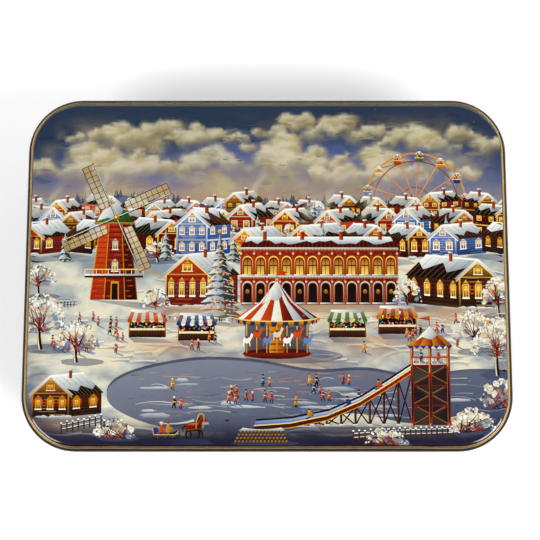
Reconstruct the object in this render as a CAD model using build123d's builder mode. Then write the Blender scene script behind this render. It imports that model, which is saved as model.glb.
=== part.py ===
# Hinged lacquer box of oil-hardened papier-mache: a wound body, a lid and a brass hinge.
# Sizes are in millimetres. X runs along the long side, Y from the front to the hinge, Z up.
# The origin is at the middle of the underside.

import math
import os

from build123d import *

# Outside of the box, seen from above
box_length = 150.0
box_depth = 110.0
corner_radius = 17.0

# Body: a wound ring, a floor let into its lower end, and a lining that stands up as the lid's lip
body_height = 31.0
wall = 4.4
floor_thickness = 4.0
floor_rebate = 1.8
foot_land = 1.4
lining_wall = 1.5
lip_height = 3.5

# Lid: a wound ring with a plate glued on top, which falls away softly towards a well-rounded edge
rim_height = 8.2
plate_edge_radius = 3.1
plate_edge_land = 1.8
shoulder_drop = 0.9
shoulder_blend = 4.5
shoulder_spare = 1.5
seam_chamfer = 0.3

# Hinge along the back: knuckles rolled from strap, their tails let into the body and the lid
hinge_length = 64.0
strap = 0.7
hinge_web = 0.75
tail_shoulder = 2.3
tail_cover = 2.2
pin_overhang = 0.6
open_angle = 100.0

# Fits
glue_gap = 0.05
lip_clearance = 0.35
pin_clearance = 0.05
knuckle_gap = 0.2
barrel_recess = 0.1
groove_clearance = 0.25
groove_end_gap = 0.6
slot_clearance = 0.05
stop_angle_gap = 1.5

# Knuckles from left to right: the node's name, and 1 where the tail goes up into the lid
knuckles = [
    ("body_knuckle_left", -1),
    ("lid_knuckle_left", 1),
    ("body_knuckle_middle", -1),
    ("lid_knuckle_right", 1),
    ("body_knuckle_right", -1),
]

# Worked out from the sizes above
foot_radius = wall - floor_rebate - foot_land
lining_height = body_height - floor_thickness + lip_height
lip_round = lining_wall / 3
rim_wall = wall + glue_gap - lip_clearance
plate_base = body_height + rim_height
plate_edge_height = plate_edge_radius + plate_edge_land
plate_thickness = plate_edge_height + shoulder_drop
shoulder_width = corner_radius - shoulder_blend - shoulder_spare
shoulder_slope = math.atan(shoulder_drop / shoulder_width)
shoulder_radius = shoulder_blend / math.tan(shoulder_slope / 2)
section_width = corner_radius - shoulder_spare / 2
knuckle_radius = (rim_wall - hinge_web - barrel_recess - groove_clearance) / 2
knuckle_length = (hinge_length - (len(knuckles) - 1) * knuckle_gap) / len(knuckles)
groove_radius = knuckle_radius + groove_clearance
bore_radius = knuckle_radius - strap
pin_radius = bore_radius - pin_clearance
pin_length = hinge_length + 2 * pin_overhang
pin_chamfer = pin_radius / 3
groove_length = pin_length + 2 * groove_end_gap
tail_width = knuckle_length - 2 * tail_shoulder
tail_reach = rim_height - tail_cover
slot_reach = tail_reach + groove_clearance
hinge_inset = knuckle_radius + barrel_recess
hinge_y = box_depth / 2 - hinge_inset
hinge_z = body_height
bevel_angle = (open_angle + stop_angle_gap) / 2
bevel_reach = hinge_inset + knuckle_radius
bevel_rise = bevel_reach * math.tan(math.radians(bevel_angle))


def outline(inset):
    # The rounded rectangle that the rings and plates of the box follow, taken in by inset
    RectangleRounded(box_length - 2 * inset, box_depth - 2 * inset, corner_radius - inset)


def knuckle_plane(index):
    # The plane across the hinge at the middle of a knuckle
    start = (knuckle_length - hinge_length) / 2
    return Plane.YZ.offset(start + index * (knuckle_length + knuckle_gap))


def cut_hinge_seat(side):
    # Takes the bevel, the barrel's groove and the slots for the tails out of a ring.
    # side is -1 for the body, below the hinge line, and 1 for the lid, above it.
    with BuildSketch(Plane.YZ) as bevel:
        with BuildLine():
            Polyline(
                (hinge_y, hinge_z),
                (hinge_y + bevel_reach, hinge_z),
                (hinge_y + bevel_reach, hinge_z + side * bevel_rise),
                close=True,
            )
        make_face()
    extrude(bevel.sketch, amount=box_length, both=True, mode=Mode.SUBTRACT)
    with BuildSketch(Plane.YZ) as groove:
        with Locations((hinge_y, hinge_z)):
            Circle(groove_radius)
    extrude(groove.sketch, amount=groove_length / 2, both=True, mode=Mode.SUBTRACT)
    for index, (_, tail_side) in enumerate(knuckles):
        if tail_side == side:
            with BuildSketch(knuckle_plane(index)) as slot:
                with Locations((hinge_y, hinge_z + side * slot_reach / 2)):
                    Rectangle(strap + 2 * slot_clearance, slot_reach)
            slot_half = tail_width / 2 + slot_clearance
            extrude(slot.sketch, amount=slot_half, both=True, mode=Mode.SUBTRACT)


# Body ring: soft foot, broken seam edge, a rebate below for the floor, and the hinge seat
with BuildPart() as body_wall:
    with BuildSketch():
        outline(0)
    extrude(amount=body_height)
    fillet(body_wall.faces().sort_by(Axis.Z)[0].edges(), radius=foot_radius)
    chamfer(body_wall.faces().sort_by(Axis.Z)[-1].edges(), length=seam_chamfer)
    with BuildSketch():
        outline(wall)
    extrude(amount=body_height, mode=Mode.SUBTRACT)
    with BuildSketch():
        outline(wall - floor_rebate)
    extrude(amount=floor_thickness, mode=Mode.SUBTRACT)
    cut_hinge_seat(-1)

# Floor, glued up against the rebate's shoulder and flush with the foot
with BuildPart() as base_panel:
    with BuildSketch():
        outline(wall - floor_rebate + glue_gap)
    extrude(amount=floor_thickness)

# Lining that stands on the floor and guides the lid with its rounded lip
with BuildPart() as inner_lining:
    with BuildSketch(Plane.XY.offset(floor_thickness)):
        outline(wall + glue_gap)
    extrude(amount=lining_height)
    with BuildSketch(Plane.XY.offset(floor_thickness)):
        outline(wall + glue_gap + lining_wall)
    extrude(amount=lining_height, mode=Mode.SUBTRACT)
    fillet(inner_lining.faces().sort_by(Axis.Z)[-1].edges(), radius=lip_round)

# Lid ring, resting on the body ring
with BuildPart() as lid_rim:
    with BuildSketch(Plane.XY.offset(body_height)):
        outline(0)
    extrude(amount=rim_height)
    chamfer(lid_rim.faces().sort_by(Axis.Z)[0].edges(), length=seam_chamfer)
    with BuildSketch(Plane.XY.offset(body_height)):
        outline(rim_wall)
    extrude(amount=rim_height, mode=Mode.SUBTRACT)
    cut_hinge_seat(1)

# Lid plate, glued on the lid ring: a flat middle, a soft shoulder and a full round along the edge.
# The edge's section is swept around the outline, and the middle fills what the sweep leaves open.
with BuildPart() as lid_panel:
    with BuildSketch(Plane.XY.offset(plate_base), mode=Mode.PRIVATE) as plate_outline:
        outline(0)
    edge_path = plate_outline.sketch.face().outer_wire()
    along = edge_path % 0
    inwards = Plane.XY.z_dir.cross(along)
    with BuildSketch(Plane(edge_path @ 0, x_dir=inwards, z_dir=along)):
        with BuildLine():
            FilletPolyline(
                (0, 0),
                (0, plate_edge_height),
                (shoulder_width, plate_thickness),
                (section_width, plate_thickness),
                radius=(plate_edge_radius, shoulder_radius),
            )
            Polyline((section_width, plate_thickness), (section_width, 0), (0, 0))
        make_face()
    sweep(path=edge_path)
    with BuildSketch(Plane.XY.offset(plate_base)):
        outline(section_width)
    extrude(amount=plate_thickness)

# Pin through all the knuckles, with its ends filed down
with BuildPart() as hinge_pin:
    with BuildSketch(Plane.YZ):
        with Locations((hinge_y, hinge_z)):
            Circle(pin_radius)
    extrude(amount=pin_length / 2, both=True)
    chamfer(hinge_pin.edges().filter_by(GeomType.CIRCLE), length=pin_chamfer)

os.makedirs("parts", exist_ok=True)

# Knuckles, each a rolled barrel with a flat tail that goes down into the body or up into the lid
for index, (name, side) in enumerate(knuckles):
    with BuildPart() as knuckle:
        with BuildSketch(knuckle_plane(index)):
            with Locations((hinge_y, hinge_z)):
                Circle(knuckle_radius)
        extrude(amount=knuckle_length / 2, both=True)
        with BuildSketch(knuckle_plane(index)):
            with Locations((hinge_y, hinge_z + side * tail_reach / 2)):
                Rectangle(strap, tail_reach)
        extrude(amount=tail_width / 2, both=True)
        with BuildSketch(knuckle_plane(index)):
            with Locations((hinge_y, hinge_z)):
                Circle(bore_radius)
        extrude(amount=knuckle_length / 2, both=True, mode=Mode.SUBTRACT)
    knuckle.part.label = name
    export_step(knuckle.part, f"parts/{name}.step")

body_wall.part.label = "body_wall"
export_step(body_wall.part, "parts/body_wall.step")
base_panel.part.label = "base_panel"
export_step(base_panel.part, "parts/base_panel.step")
inner_lining.part.label = "inner_lining"
export_step(inner_lining.part, "parts/inner_lining.step")
lid_rim.part.label = "lid_rim"
export_step(lid_rim.part, "parts/lid_rim.step")
lid_panel.part.label = "lid_panel"
export_step(lid_panel.part, "parts/lid_panel.step")
hinge_pin.part.label = "hinge_pin"
export_step(hinge_pin.part, "parts/hinge_pin.step")
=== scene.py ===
import random
from math import atan, cos, hypot, pi, radians, sin, sqrt, tan

import bpy
import numpy as np
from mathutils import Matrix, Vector, noise
from mathutils.geometry import delaunay_2d_cdt


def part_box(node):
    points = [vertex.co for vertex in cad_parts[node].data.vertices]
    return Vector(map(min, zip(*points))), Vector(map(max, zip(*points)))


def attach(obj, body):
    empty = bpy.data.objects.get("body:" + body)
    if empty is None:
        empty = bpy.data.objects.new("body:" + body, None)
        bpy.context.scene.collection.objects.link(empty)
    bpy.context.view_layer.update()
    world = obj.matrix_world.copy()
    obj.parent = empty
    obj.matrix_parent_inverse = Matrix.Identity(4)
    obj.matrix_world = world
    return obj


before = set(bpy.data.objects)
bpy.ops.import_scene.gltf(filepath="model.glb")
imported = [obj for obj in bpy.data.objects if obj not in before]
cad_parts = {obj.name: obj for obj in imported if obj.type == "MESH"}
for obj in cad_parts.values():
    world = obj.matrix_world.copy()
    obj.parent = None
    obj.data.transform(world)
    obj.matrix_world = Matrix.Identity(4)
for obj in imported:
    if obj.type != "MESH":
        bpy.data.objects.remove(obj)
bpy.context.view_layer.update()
scene = bpy.context.scene
scene.view_settings.view_transform = "Standard"
mm = 0.001
print("frame loaded:", ", ".join(sorted(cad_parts)))


# the lid's form, as the solid has it; all the paint is laid on this

lidForm = {
    "cornerRadius": 17.0,  # mm, seen from above
    "edgeRadius": 3.1,  # the round along the lid's edge
    "shoulderDrop": 0.9,  # how far the top falls before the round
    "shoulderWidth": 11.0,
    "shoulderBlend": 4.5,
}
halfLength, halfDepth, lidTop = (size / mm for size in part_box("lid_panel")[1])
shoulderSlope = atan(lidForm["shoulderDrop"] / lidForm["shoulderWidth"])
edgeTop = lidTop - lidForm["shoulderDrop"]
roundCentre = edgeTop + lidForm["edgeRadius"]*(tan(shoulderSlope) - 1/cos(shoulderSlope))


def pastStraight(x, y):
    # how far a point lies past the straight stretch of each side
    r = lidForm["cornerRadius"]
    return np.abs(x) - (halfLength - r), np.abs(y) - (halfDepth - r)


def insetOf(x, y):
    # distance in from the lid's outline, in mm
    qx, qy = pastStraight(x, y)
    outside = np.hypot(np.maximum(qx, 0), np.maximum(qy, 0))
    return lidForm["cornerRadius"] - outside - np.minimum(np.maximum(qx, qy), 0)


def outwardOf(x, y):
    # unit direction towards the nearest edge
    qx, qy = pastStraight(x, y)
    corner = (qx > 0) & (qy > 0)
    length = np.maximum(np.hypot(qx, qy), 1e-6)
    ox = np.where(corner, qx / length, np.where(qx > qy, 1.0, 0.0))
    oy = np.where(corner, qy / length, np.where(qx > qy, 0.0, 1.0))
    return ox * np.sign(x), oy * np.sign(y)


def lidProfile(inset):
    # height of the lid's top and lean of its normal
    r = lidForm["edgeRadius"]
    width = lidForm["shoulderWidth"]
    blend = lidForm["shoulderBlend"]
    blendRadius = blend / tan(shoulderSlope / 2)
    lean = np.full_like(inset, shoulderSlope)
    height = edgeTop + inset*tan(shoulderSlope)
    onRound = inset < r * (1 - sin(shoulderSlope))
    roundLean = np.arcsin(np.clip(1 - inset/r, -1, 1))
    height = np.where(onRound, roundCentre + r*np.cos(roundLean), height)
    lean = np.where(onRound, roundLean, lean)
    onBlend = inset > width - blend*cos(shoulderSlope)
    run = np.clip(width + blend - inset, 0, None)
    height = np.where(onBlend, lidTop - blendRadius + np.sqrt(blendRadius**2 - run**2), height)
    lean = np.where(onBlend, np.arcsin(run / blendRadius), lean)
    return height, lean


def lidPlace(x, y, lift):
    # points and normals on the lid, lifted off it along the normal
    height, lean = lidProfile(insetOf(x, y))
    ox, oy = outwardOf(x, y)
    normals = np.stack([ox * np.sin(lean), oy * np.sin(lean), np.cos(lean)], axis=1)
    points = np.stack([x, y, height], axis=1) + normals*lift
    return points, normals


def outlineLoop(inset, spacing):
    # points around the lid's outline, taken in by inset
    r = lidForm["cornerRadius"] - inset
    cx = halfLength - lidForm["cornerRadius"]
    cy = halfDepth - lidForm["cornerRadius"]
    quarter = radians(90)
    arcSteps = max(4, round(r * pi / 2 / spacing))
    points = []
    for turn, (sx, sy) in enumerate([(1, -1), (1, 1), (-1, 1), (-1, -1)]):
        start = quarter * (turn - 1)
        for step in range(arcSteps + 1):
            a = start + quarter*step/arcSteps
            points.append((sx*cx + r*cos(a), sy*cy + r*sin(a)))
        run = 2 * (cy if turn % 2 == 0 else cx)
        runSteps = max(1, round(run / spacing))
        ex, ey = points[-1]
        dx, dy = -sin(start + quarter), cos(start + quarter)
        for step in range(1, runSteps):
            points.append((ex + dx*run*step/runSteps, ey + dy*run*step/runSteps))
    return points


# the paintbox: strokes are outlines with a colour, washes are soft fields; both are laid in order

paintColours = {  # sRGB, 0 to 255
    "ink": (20, 13, 15),
    "maroon": (70, 17, 17),
    "brickDark": (108, 31, 20),
    "brick": (172, 58, 28),
    "brickLit": (212, 102, 44),
    "rose": (196, 92, 78),
    "gold": (220, 162, 48),
    "goldLit": (250, 214, 120),
    "goldDark": (150, 98, 28),
    "ochre": (190, 166, 112),
    "timber": (110, 64, 34),
    "timberDark": (50, 26, 18),
    "leaf": (88, 142, 64),
    "leafDark": (32, 66, 42),
    "pine": (24, 48, 50),
    "pineLit": (92, 124, 120),
    "blue": (52, 86, 152),
    "blueLit": (116, 152, 200),
    "blueDark": (30, 44, 86),
    "skyTop": (60, 80, 108),
    "sky": (104, 125, 172),
    "skyLow": (154, 152, 160),
    "lilac": (122, 130, 156),
    "peach": (206, 178, 140),
    "cream": (226, 220, 198),
    "cloud": (196, 194, 160),
    "cloudGrey": (122, 128, 134),
    "white": (242, 243, 238),
    "snow": (222, 222, 210),
    "snowCream": (234, 224, 198),
    "snowShade": (156, 169, 180),
    "snowDeep": (80, 96, 130),
    "ice": (126, 144, 168),
    "twig": (172, 82, 72),
    "skin": (224, 176, 142),
}


def linearOf(srgb):
    c = np.array(srgb, float) / 255
    return np.where(c <= 0.04045, c / 12.92, ((c + 0.055) / 1.055) ** 2.4)


varnish = {
    "depth": np.array([1.31, 1.36, 1.45]),  # how much the clear coats deepen and warm the paint
    "brilliance": 1.085,
}
tones = {}
for paintName, srgb in paintColours.items():
    tones[paintName] = varnish["brilliance"] * linearOf(srgb) ** varnish["depth"]
layers = []  # strokes and washes in the order they are painted
hand = random.Random(11)
between = hand.uniform
touch = random.Random(5)  # how much paint is on the brush


def mix(first, second, share):
    return tones[first]*(1 - share) + tones[second]*share


def toneOf(colour):
    return tones[colour] if isinstance(colour, str) else np.asarray(colour, float)


def paint(points, colour, fade=None, angle=-90, alpha=1.0):
    # one flat or graded stroke; fade is the colour at the far side, in the direction of angle
    load = touch.uniform(0.85, 1.05)
    layers.append({
        "points": [(float(px), float(py)) for px, py in points],
        "colour": toneOf(colour) * load,
        "fade": None if fade is None else toneOf(fade) * load,
        "angle": radians(angle),
        "alpha": alpha,
    })


def snow(points, angle=-90, alpha=1.0):
    # white paint with blue in the shade
    paint(points, "white", "snowShade", angle, alpha)


def wash(field):
    # field(x, y) gives colours and an alpha for every point of the picture
    layers.append({"field": field})


noiseForm = {
    "roughness": 0.85,
    "lacunarity": 2.1,
    "seedStep": 7.31,  # how far apart the patches of two seeds lie
}


def noiseAt(x, y, scale, seed, octaves=5):
    # noise of about -1 to 1, a different patch for each seed
    spot = (x / scale, y / scale, seed * noiseForm["seedStep"])
    return noise.fractal(spot, noiseForm["roughness"], noiseForm["lacunarity"], octaves)


def fractal(x, y, *form):
    return np.array([noiseAt(px, py, *form) for px, py in zip(x, y)])


def softStep(low, high, value):
    t = np.clip((value - low) / (high - low), 0, 1)
    return t * t * (3 - 2*t)


def setOut(x, y, wide, tall, *marks):
    # points given as shares of a width and a height, set out from one place
    return [(x + wide*s, y + tall*t) for s, t in marks]


def box(x0, y0, x1, y1):
    return [(x0, y0), (x1, y0), (x1, y1), (x0, y1)]


def post(x, low, high, half):
    return box(x - half, low, x + half, high)


def oval(cx, cy, rx, ry, count=10, wobble=0.0, turn=0.0):
    points = []
    for step in range(count):
        a = 2 * pi * step / count
        k = 1 + between(-wobble, wobble)
        px, py = rx * k * cos(a), ry * k * sin(a)
        x = cx + px*cos(turn) - py*sin(turn)
        points.append((x, cy + px*sin(turn) + py*cos(turn)))
    return points


def sideways(ax, ay, bx, by):
    # unit direction across the way from a to b
    length = hypot(bx - ax, by - ay) or 1
    return -(by - ay) / length, (bx - ax) / length


def bothSides(path, across, halves):
    left, right = [], []
    for (px, py), (nx, ny), w in zip(path, across, halves):
        left.append((px + nx*w, py + ny*w))
        right.append((px - nx*w, py - ny*w))
    return left + right[::-1]


def ribbon(path, startWidth, endWidth=None):
    # a brush line along a path, as an outline
    endWidth = startWidth if endWidth is None else endWidth
    last = len(path) - 1
    across = [sideways(*path[max(i - 1, 0)], *path[min(i + 1, last)]) for i in range(last + 1)]
    halves = [(startWidth + (endWidth - startWidth)*i/last) / 2 for i in range(last + 1)]
    return bothSides(path, across, halves)


def draw(path, width, *colours, **more):
    # paints a brush line; a pair of widths is for its start and end
    widths = width if isinstance(width, tuple) else (width,)
    paint(ribbon(path, *widths), *colours, **more)


def brushMark(path, width):
    # a loaded stroke that swells and thins out again
    last = len(path) - 1
    across = [sideways(*path[0], *path[-1])] * (last + 1)
    halves = [width / 2 * sin(pi * (i + 0.35) / (last + 0.7)) for i in range(last + 1)]
    return bothSides(path, across, halves)


def bow(ax, ay, bx, by, rise, steps=5):
    # points of a shallow curve from a to b, bowed sideways by rise
    nx, ny = sideways(ax, ay, bx, by)
    points = []
    for step in range(steps + 1):
        t = step / steps
        lift = 4 * t * (1 - t) * rise
        points.append((ax + (bx - ax)*t + nx*lift, ay + (by - ay)*t + ny*lift))
    return points


# sky, clouds, hills and snow

skyPlan = {
    "horizon": 18.0,  # mm up from the middle of the lid
    "top": 50.0,
    "cornerDark": 0.85,  # how far the sky darkens towards the gold line
    "strokes": 280,
    "puffsPerBank": 30,
    "banks": [  # middle x, middle y, length, height, warmth
        (-34, 43, 56, 6, 0.35),
        (16, 45, 44, 6, 0.5),
        (55, 41, 40, 8, 0.4),
        (-50, 33, 50, 9, 0.6),
        (-2, 35, 52, 10, 0.5),
        (38, 31, 54, 11, 0.75),
    ],
}


def flatTone(tone, x):
    # one colour for every point of a wash
    return np.tile(tone, (len(x), 1))


def towards(colour, tone, share):
    # moves the colours of a wash a share of the way to another
    return colour + (tone - colour)*share[:, None]


def brushOver(count, area, tonesFor, run, thick, load):
    # loose strokes of a flat brush, coloured by where they lie
    x0, y0, x1, y1 = area
    for i in range(count):
        x, y = between(x0, x1), between(y0, y1)
        length = between(*run)
        tilt = 0.6*noise.noise((x / 17, y / 11, 3.0)) + between(-0.12, 0.12)
        rise = between(-0.13, 0.13) * length
        line = bow(x, y, x + length*cos(tilt), y + length*sin(tilt), rise, 4)
        mark = brushMark(line, between(*thick))
        paint(mark, hand.choice(tonesFor(x, y)), alpha=between(*load))


def paintSky():
    def field(x, y):
        high = softStep(skyPlan["horizon"], skyPlan["top"], y + 5*fractal(x, y, 22, 1))
        colour = tones["skyLow"] + np.outer(softStep(0, 0.5, high), tones["sky"] - tones["skyLow"])
        colour = colour + np.outer(softStep(0.45, 1, high), tones["skyTop"] - tones["sky"])
        glow = np.exp(-((x + 16) / 55) ** 2 - ((y - 14) / 11) ** 2)
        colour = towards(colour, mix("peach", "gold", 0.3), 0.85 * glow)
        edge = softStep(24, 2, insetOf(x, y)) * softStep(20, 40, y) * skyPlan["cornerDark"]
        return towards(colour, tones["skyTop"], edge), np.ones_like(x)
    wash(field)


def paintCloudBank(cx, cy, length, height, warmth, seed):
    # soft puffs lit from the upper left, the far ones first
    pick = random.Random(seed)
    puffs = []
    for i in range(skyPlan["puffsPerBank"]):
        t = pick.uniform(-1, 1)
        crest = (1 - t*t) * height
        px = cx + t*length/2
        py = cy + pick.uniform(-0.25, 0.75)*crest - 1.5
        puffs.append((px, py, pick.uniform(0.35, 1.0) * (2.2 + 0.36*crest)))
    puffs.sort(key=lambda puff: -puff[1])
    low = mix("cloudGrey", "ochre", warmth)
    mid = mix("cloud", "peach", warmth * 0.6)

    def field(x, y):
        ragX = x + 1.6*fractal(x, y, 5, seed, 4)
        ragY = y + 1.3*fractal(x, y, 4, seed + 40, 4)
        colour = flatTone(tones["cloudGrey"], x)
        cover = np.zeros_like(x)
        for px, py, pr in puffs:
            dx, dy = (ragX - px) / (pr * 1.35), (ragY - py) / pr
            puff = softStep(0, 0.45, 1 - np.hypot(dx, dy))
            lit = softStep(-0.75, 0.85, dy - 0.45*dx)
            tone = low + np.outer(softStep(0, 0.6, lit), mid - low)
            tone = tone + np.outer(softStep(0.58, 1, lit), tones["cream"] - mid)*0.9
            colour = towards(colour, tone, puff)
            cover = np.maximum(cover, puff)
        flat = softStep(cy - 4.5, cy + 1, ragY)  # banks thin out along a level base
        return colour, cover * (0.2 + 0.7*flat) * 0.85
    wash(field)


def paintVeil():
    # thin high cloud between the banks
    low, high = mix("cloudGrey", "ochre", 0.4), mix("cloud", "peach", 0.3)

    def field(x, y):
        rag = fractal(x, y * 1.7, 19, 61, 6) + 0.35*fractal(x, y, 5, 63, 4)
        lit = softStep(-0.5, 0.9, fractal(x, y * 1.5, 11, 67) + 0.3)
        upright = softStep(4, 16, y) * softStep(54, 40, y)
        cover = softStep(-0.35, 0.75, rag) * upright * softStep(2, 14, insetOf(x, y))
        return low + np.outer(lit, high - low), 0.72 * cover
    wash(field)


def skyTones(x, y):
    cloudy = noiseAt(x, y * 1.7, 19, 61, 6)
    if insetOf(np.array(x), np.array(y)) < 9:
        return ["skyTop", "blueDark", "skyTop"]
    if cloudy > 0.2:
        return ["cloud", "cream", "ochre", "cloud"]
    if cloudy > -0.15:
        return ["cloud", "cloudGrey", "ochre", "cloud"]
    return ["sky", "skyTop", "lilac"] if y > 32 else ["sky", "skyLow", "lilac", "cloud"]


def paintClouds():
    paintVeil()
    for seed, bank in enumerate(skyPlan["banks"]):
        paintCloudBank(*bank, seed + 3)
    brushOver(skyPlan["strokes"], (-74, 20, 70, 51), skyTones, (2, 7), (0.5, 1.6), (0.1, 0.3))


def paintRooks(count):
    for i in range(count):
        x, y = between(-20, 26), between(32, 43)
        s = between(0.5, 1.0)
        wings = setOut(x, y, s, s, (-1, 0.45), (-0.4, 0.5), (0, 0), (0.4, 0.5), (1, 0.4))
        draw(wings, 0.18, "ink", alpha=0.9)


hillPlan = {
    "ridges": [  # height, roll, colours of crest and foot, seed, size of the trees, haze over them
        (21.5, 2.8, "lilac", "skyLow", 5, 0.7, 0.4),
        (18.5, 2.2, "skyLow", "snowShade", 9, 1.0, 0.15),
    ],
    "treesPerRidge": 180,
    "foot": 6.0,
}


def ridgeHeight(x, level, roll, seed):
    return level + roll*noise.fractal((x / 26, seed * 3.7, 0.0), 0.9, 2.0, 4)


def paintHills():
    for level, roll, crest, foot, seed, size, haze in hillPlan["ridges"]:
        top = [(x, ridgeHeight(x, level, roll, seed)) for x in np.arange(-76, 77, 2.0)]
        paint([(-76, hillPlan["foot"])] + top + [(76, hillPlan["foot"])], crest, foot)
        for i in range(hillPlan["treesPerRidge"]):
            x = between(-74, 74)
            y = ridgeHeight(x, level, roll, seed) - between(0.2, 1.6)
            tall = between(2.0, 4.4) * size
            wide = tall * between(0.2, 0.32)
            far = mix("pine", crest, haze)
            paint(setOut(x, y, wide, tall, (-1, 0), (1, 0), (0, 1)), far, alpha=0.9)
            paint(setOut(x, y, wide, tall, (-0.8, 0.25), (-0.3, 0.3), (0, 1)), "snowShade", alpha=0.6)


def paintSnowField():
    def field(x, y):
        level = np.array([ridgeHeight(px, 17.0, 1.6, 21) for px in x])
        rolls = fractal(x * 0.45, y, 9, 31)
        fine = fractal(x * 0.5, y, 2.4, 33)
        near = softStep(-10, -50, y)
        lit = softStep(-0.5, 0.7, rolls*0.85 + fine*0.35 + 0.18)
        shade = tones["snowShade"] + np.outer(near * 0.35, tones["snowDeep"] - tones["snowShade"])
        colour = towards(shade, tones["snow"], lit)
        colour = towards(colour, tones["snowCream"], softStep(0.1, 0.8, rolls + fine*0.5) * 0.6)
        edge = softStep(10, 2, insetOf(x, y)) * (0.3 + 0.7*softStep(-30, -46, y))
        colour = towards(colour, mix("snowDeep", "blueDark", 0.7), edge)
        return colour, softStep(level + 0.4, level - 0.6, y)
    wash(field)


def paintDrifts(count, y0, y1):
    # blue hollows with a lit crest above each, longer towards the front
    for i in range(count):
        y = between(y0, y1)
        near = (6 - y) / 58
        x = between(-76, 70)
        run = between(4, 11) * (0.5 + near)
        rise = between(-0.1, 0.14) * run
        line = bow(x, y, x + run, y + between(-0.8, 0.8), rise, 6)
        draw(line, (0.15, 0.5 + 0.9*near), "snowDeep", alpha=between(0.18, 0.42))
        crest = [(px, py + 0.35 + 0.5*near) for px, py in line]
        draw(crest, (0.12, 0.3 + 0.5*near), "white", alpha=between(0.35, 0.8))


def snowTones(x, y):
    rolls = noiseAt(x * 0.45, y, 9, 31)
    if y < -46:
        return ["snowDeep", "blueDark", "blueDark", "maroon"]
    if rolls > 0:
        return ["white", "snowCream", "snow", "peach"]
    return ["snowShade", "snow", "snowDeep", "ochre"]


def paintFootShade():
    # the foreground lies in blue shade
    def field(x, y):
        deep = softStep(-43, -52, y + 1.4*fractal(x, y, 7, 71, 4)) * 0.92
        return flatTone(mix("blueDark", "maroon", 0.25), x), deep
    wash(field)


lampPools = [  # middle x, foot of what is lit, reach to the sides, reach forward
    (16, -10.5, 27, 6),
    (-24, -11, 11, 5),
    (56, -11.5, 13, 6),
    (-30, -21, 15, 5),
    (3, -26, 17, 6),
    (31, -20, 14, 6),
    (-62, -44.5, 10, 4),
]


def paintLampPools():
    # light from windows and stalls, thrown forward on the snow
    def field(x, y):
        warm = np.zeros_like(x)
        for px, foot, wide, reach in lampPools:
            pool = np.exp(-((x - px) / wide) ** 2 - ((y - foot) / reach) ** 2)
            warm = np.maximum(warm, pool * softStep(foot + 0.6, foot - 0.6, y))
        return flatTone(mix("peach", "gold", 0.35), x), 0.6 * warm
    wash(field)


# trees

frostPlan = {
    "body": 0.5,  # dabs on each square mm
    "tips": 0.66,
    "bushTips": 0.7,  # a bush has this share of a tree's tips
    "twigs": 1.7,  # on each mm of width
    "specks": 3.0,
    "lit": ["snowCream", "peach", "cream", "white", "snow"],
    "shaded": ["snowShade", "blueLit", "lilac", "snowShade", "skyLow"],
    "hollows": ["snowDeep", "blueDark", "lilac"],
    "wood": ["brickDark", "twig", "brick", "timberDark", "maroon"],
    "rime": ["white", "white", "snowCream", "snow"],
}


def frostDab(x, y, size, colour, alpha=1.0):
    dab = oval(x, y, size * between(0.8, 1.5), size, 5, 0.2, between(-0.6, 0.6))
    paint(dab, colour, alpha=alpha)


def paintFrosted(x, y, width, height, trunk=0.0):
    # a bush, or a tree on a trunk: warm frost in a dome, red twigs over it, white tips around it
    base = y + trunk
    paint(oval(x + width*0.14, y, width * 0.5, height*0.1 + 0.3, 14, 0.1), "snowDeep", alpha=0.65)

    def inDome(least):
        a = pi/2 + between(-1.5, 1.5)
        out = sqrt(between(least, 1.0))
        return x + out*width*0.5*cos(a), base + out*height*sin(a)

    for i in range(int(width * height * frostPlan["body"])):
        px, py = inDome(0.0)
        high = (py - base)/height - 0.3*(px - x)/width
        tone = hand.choice(frostPlan["lit" if high > between(0.1, 0.5) else "shaded"])
        frostDab(px, py, between(0.5, 1.0), tone, 0.8)
    for i in range(int(width * frostPlan["specks"])):
        px, py = inDome(0.7)
        frostDab(px, py, between(0.2, 0.4), hand.choice(frostPlan["hollows"]), 0.7)
    if trunk:
        stem = bow(x, y - 0.2, x + between(-0.05, 0.05)*width, base + height*0.35, 0.03 * height, 5)
        draw(stem, (0.06*width + 0.5, 0.5), "timberDark", "maroon", 0)
        lit = [(px - 0.015*width - 0.1, py) for px, py in stem[:4]]
        draw(lit, (0.02*width + 0.15, 0.15), "snowCream")
    spread = 0.06 if trunk else 0.3
    for i in range(int(width * frostPlan["twigs"])):
        px, py = inDome(0.15)
        footX = x + between(-spread, spread)*width
        footY = base + between(0, 0.3)*height*bool(trunk)
        twig = bow(footX, footY, px, py, between(-0.1, 0.1) * height, 4)
        draw(twig, (0.26, 0.09), hand.choice(frostPlan["wood"]))
    for i in range(int(width * height * frostPlan["tips"] * (1.0 if trunk else frostPlan["bushTips"]))):
        px, py = inDome(0.55)
        frostDab(px, py, between(0.16, 0.36), hand.choice(frostPlan["rime"]))


sprucePlan = {
    "tierHeight": 2.4,  # mm of tree to each tier
    "needles": [(-1, 0.15), (-0.6, -0.4), (-0.25, 0.15), (0.1, -0.4), (0.45, 0.15), (0.75, -0.4), (1, 0.15)],
    "snow": [(-0.98, 0.1), (-0.5, 0.45), (-0.1, 0.25), (0.25, 0.7)],
    "rightSnow": [(0.95, 0.1), (0.5, 0.6), (0.3, 0.8)],
    "ballsPerMm": 2.4,
    "balls": ["goldLit", "brickLit", "gold", "blueLit", "rose"],
}


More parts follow.
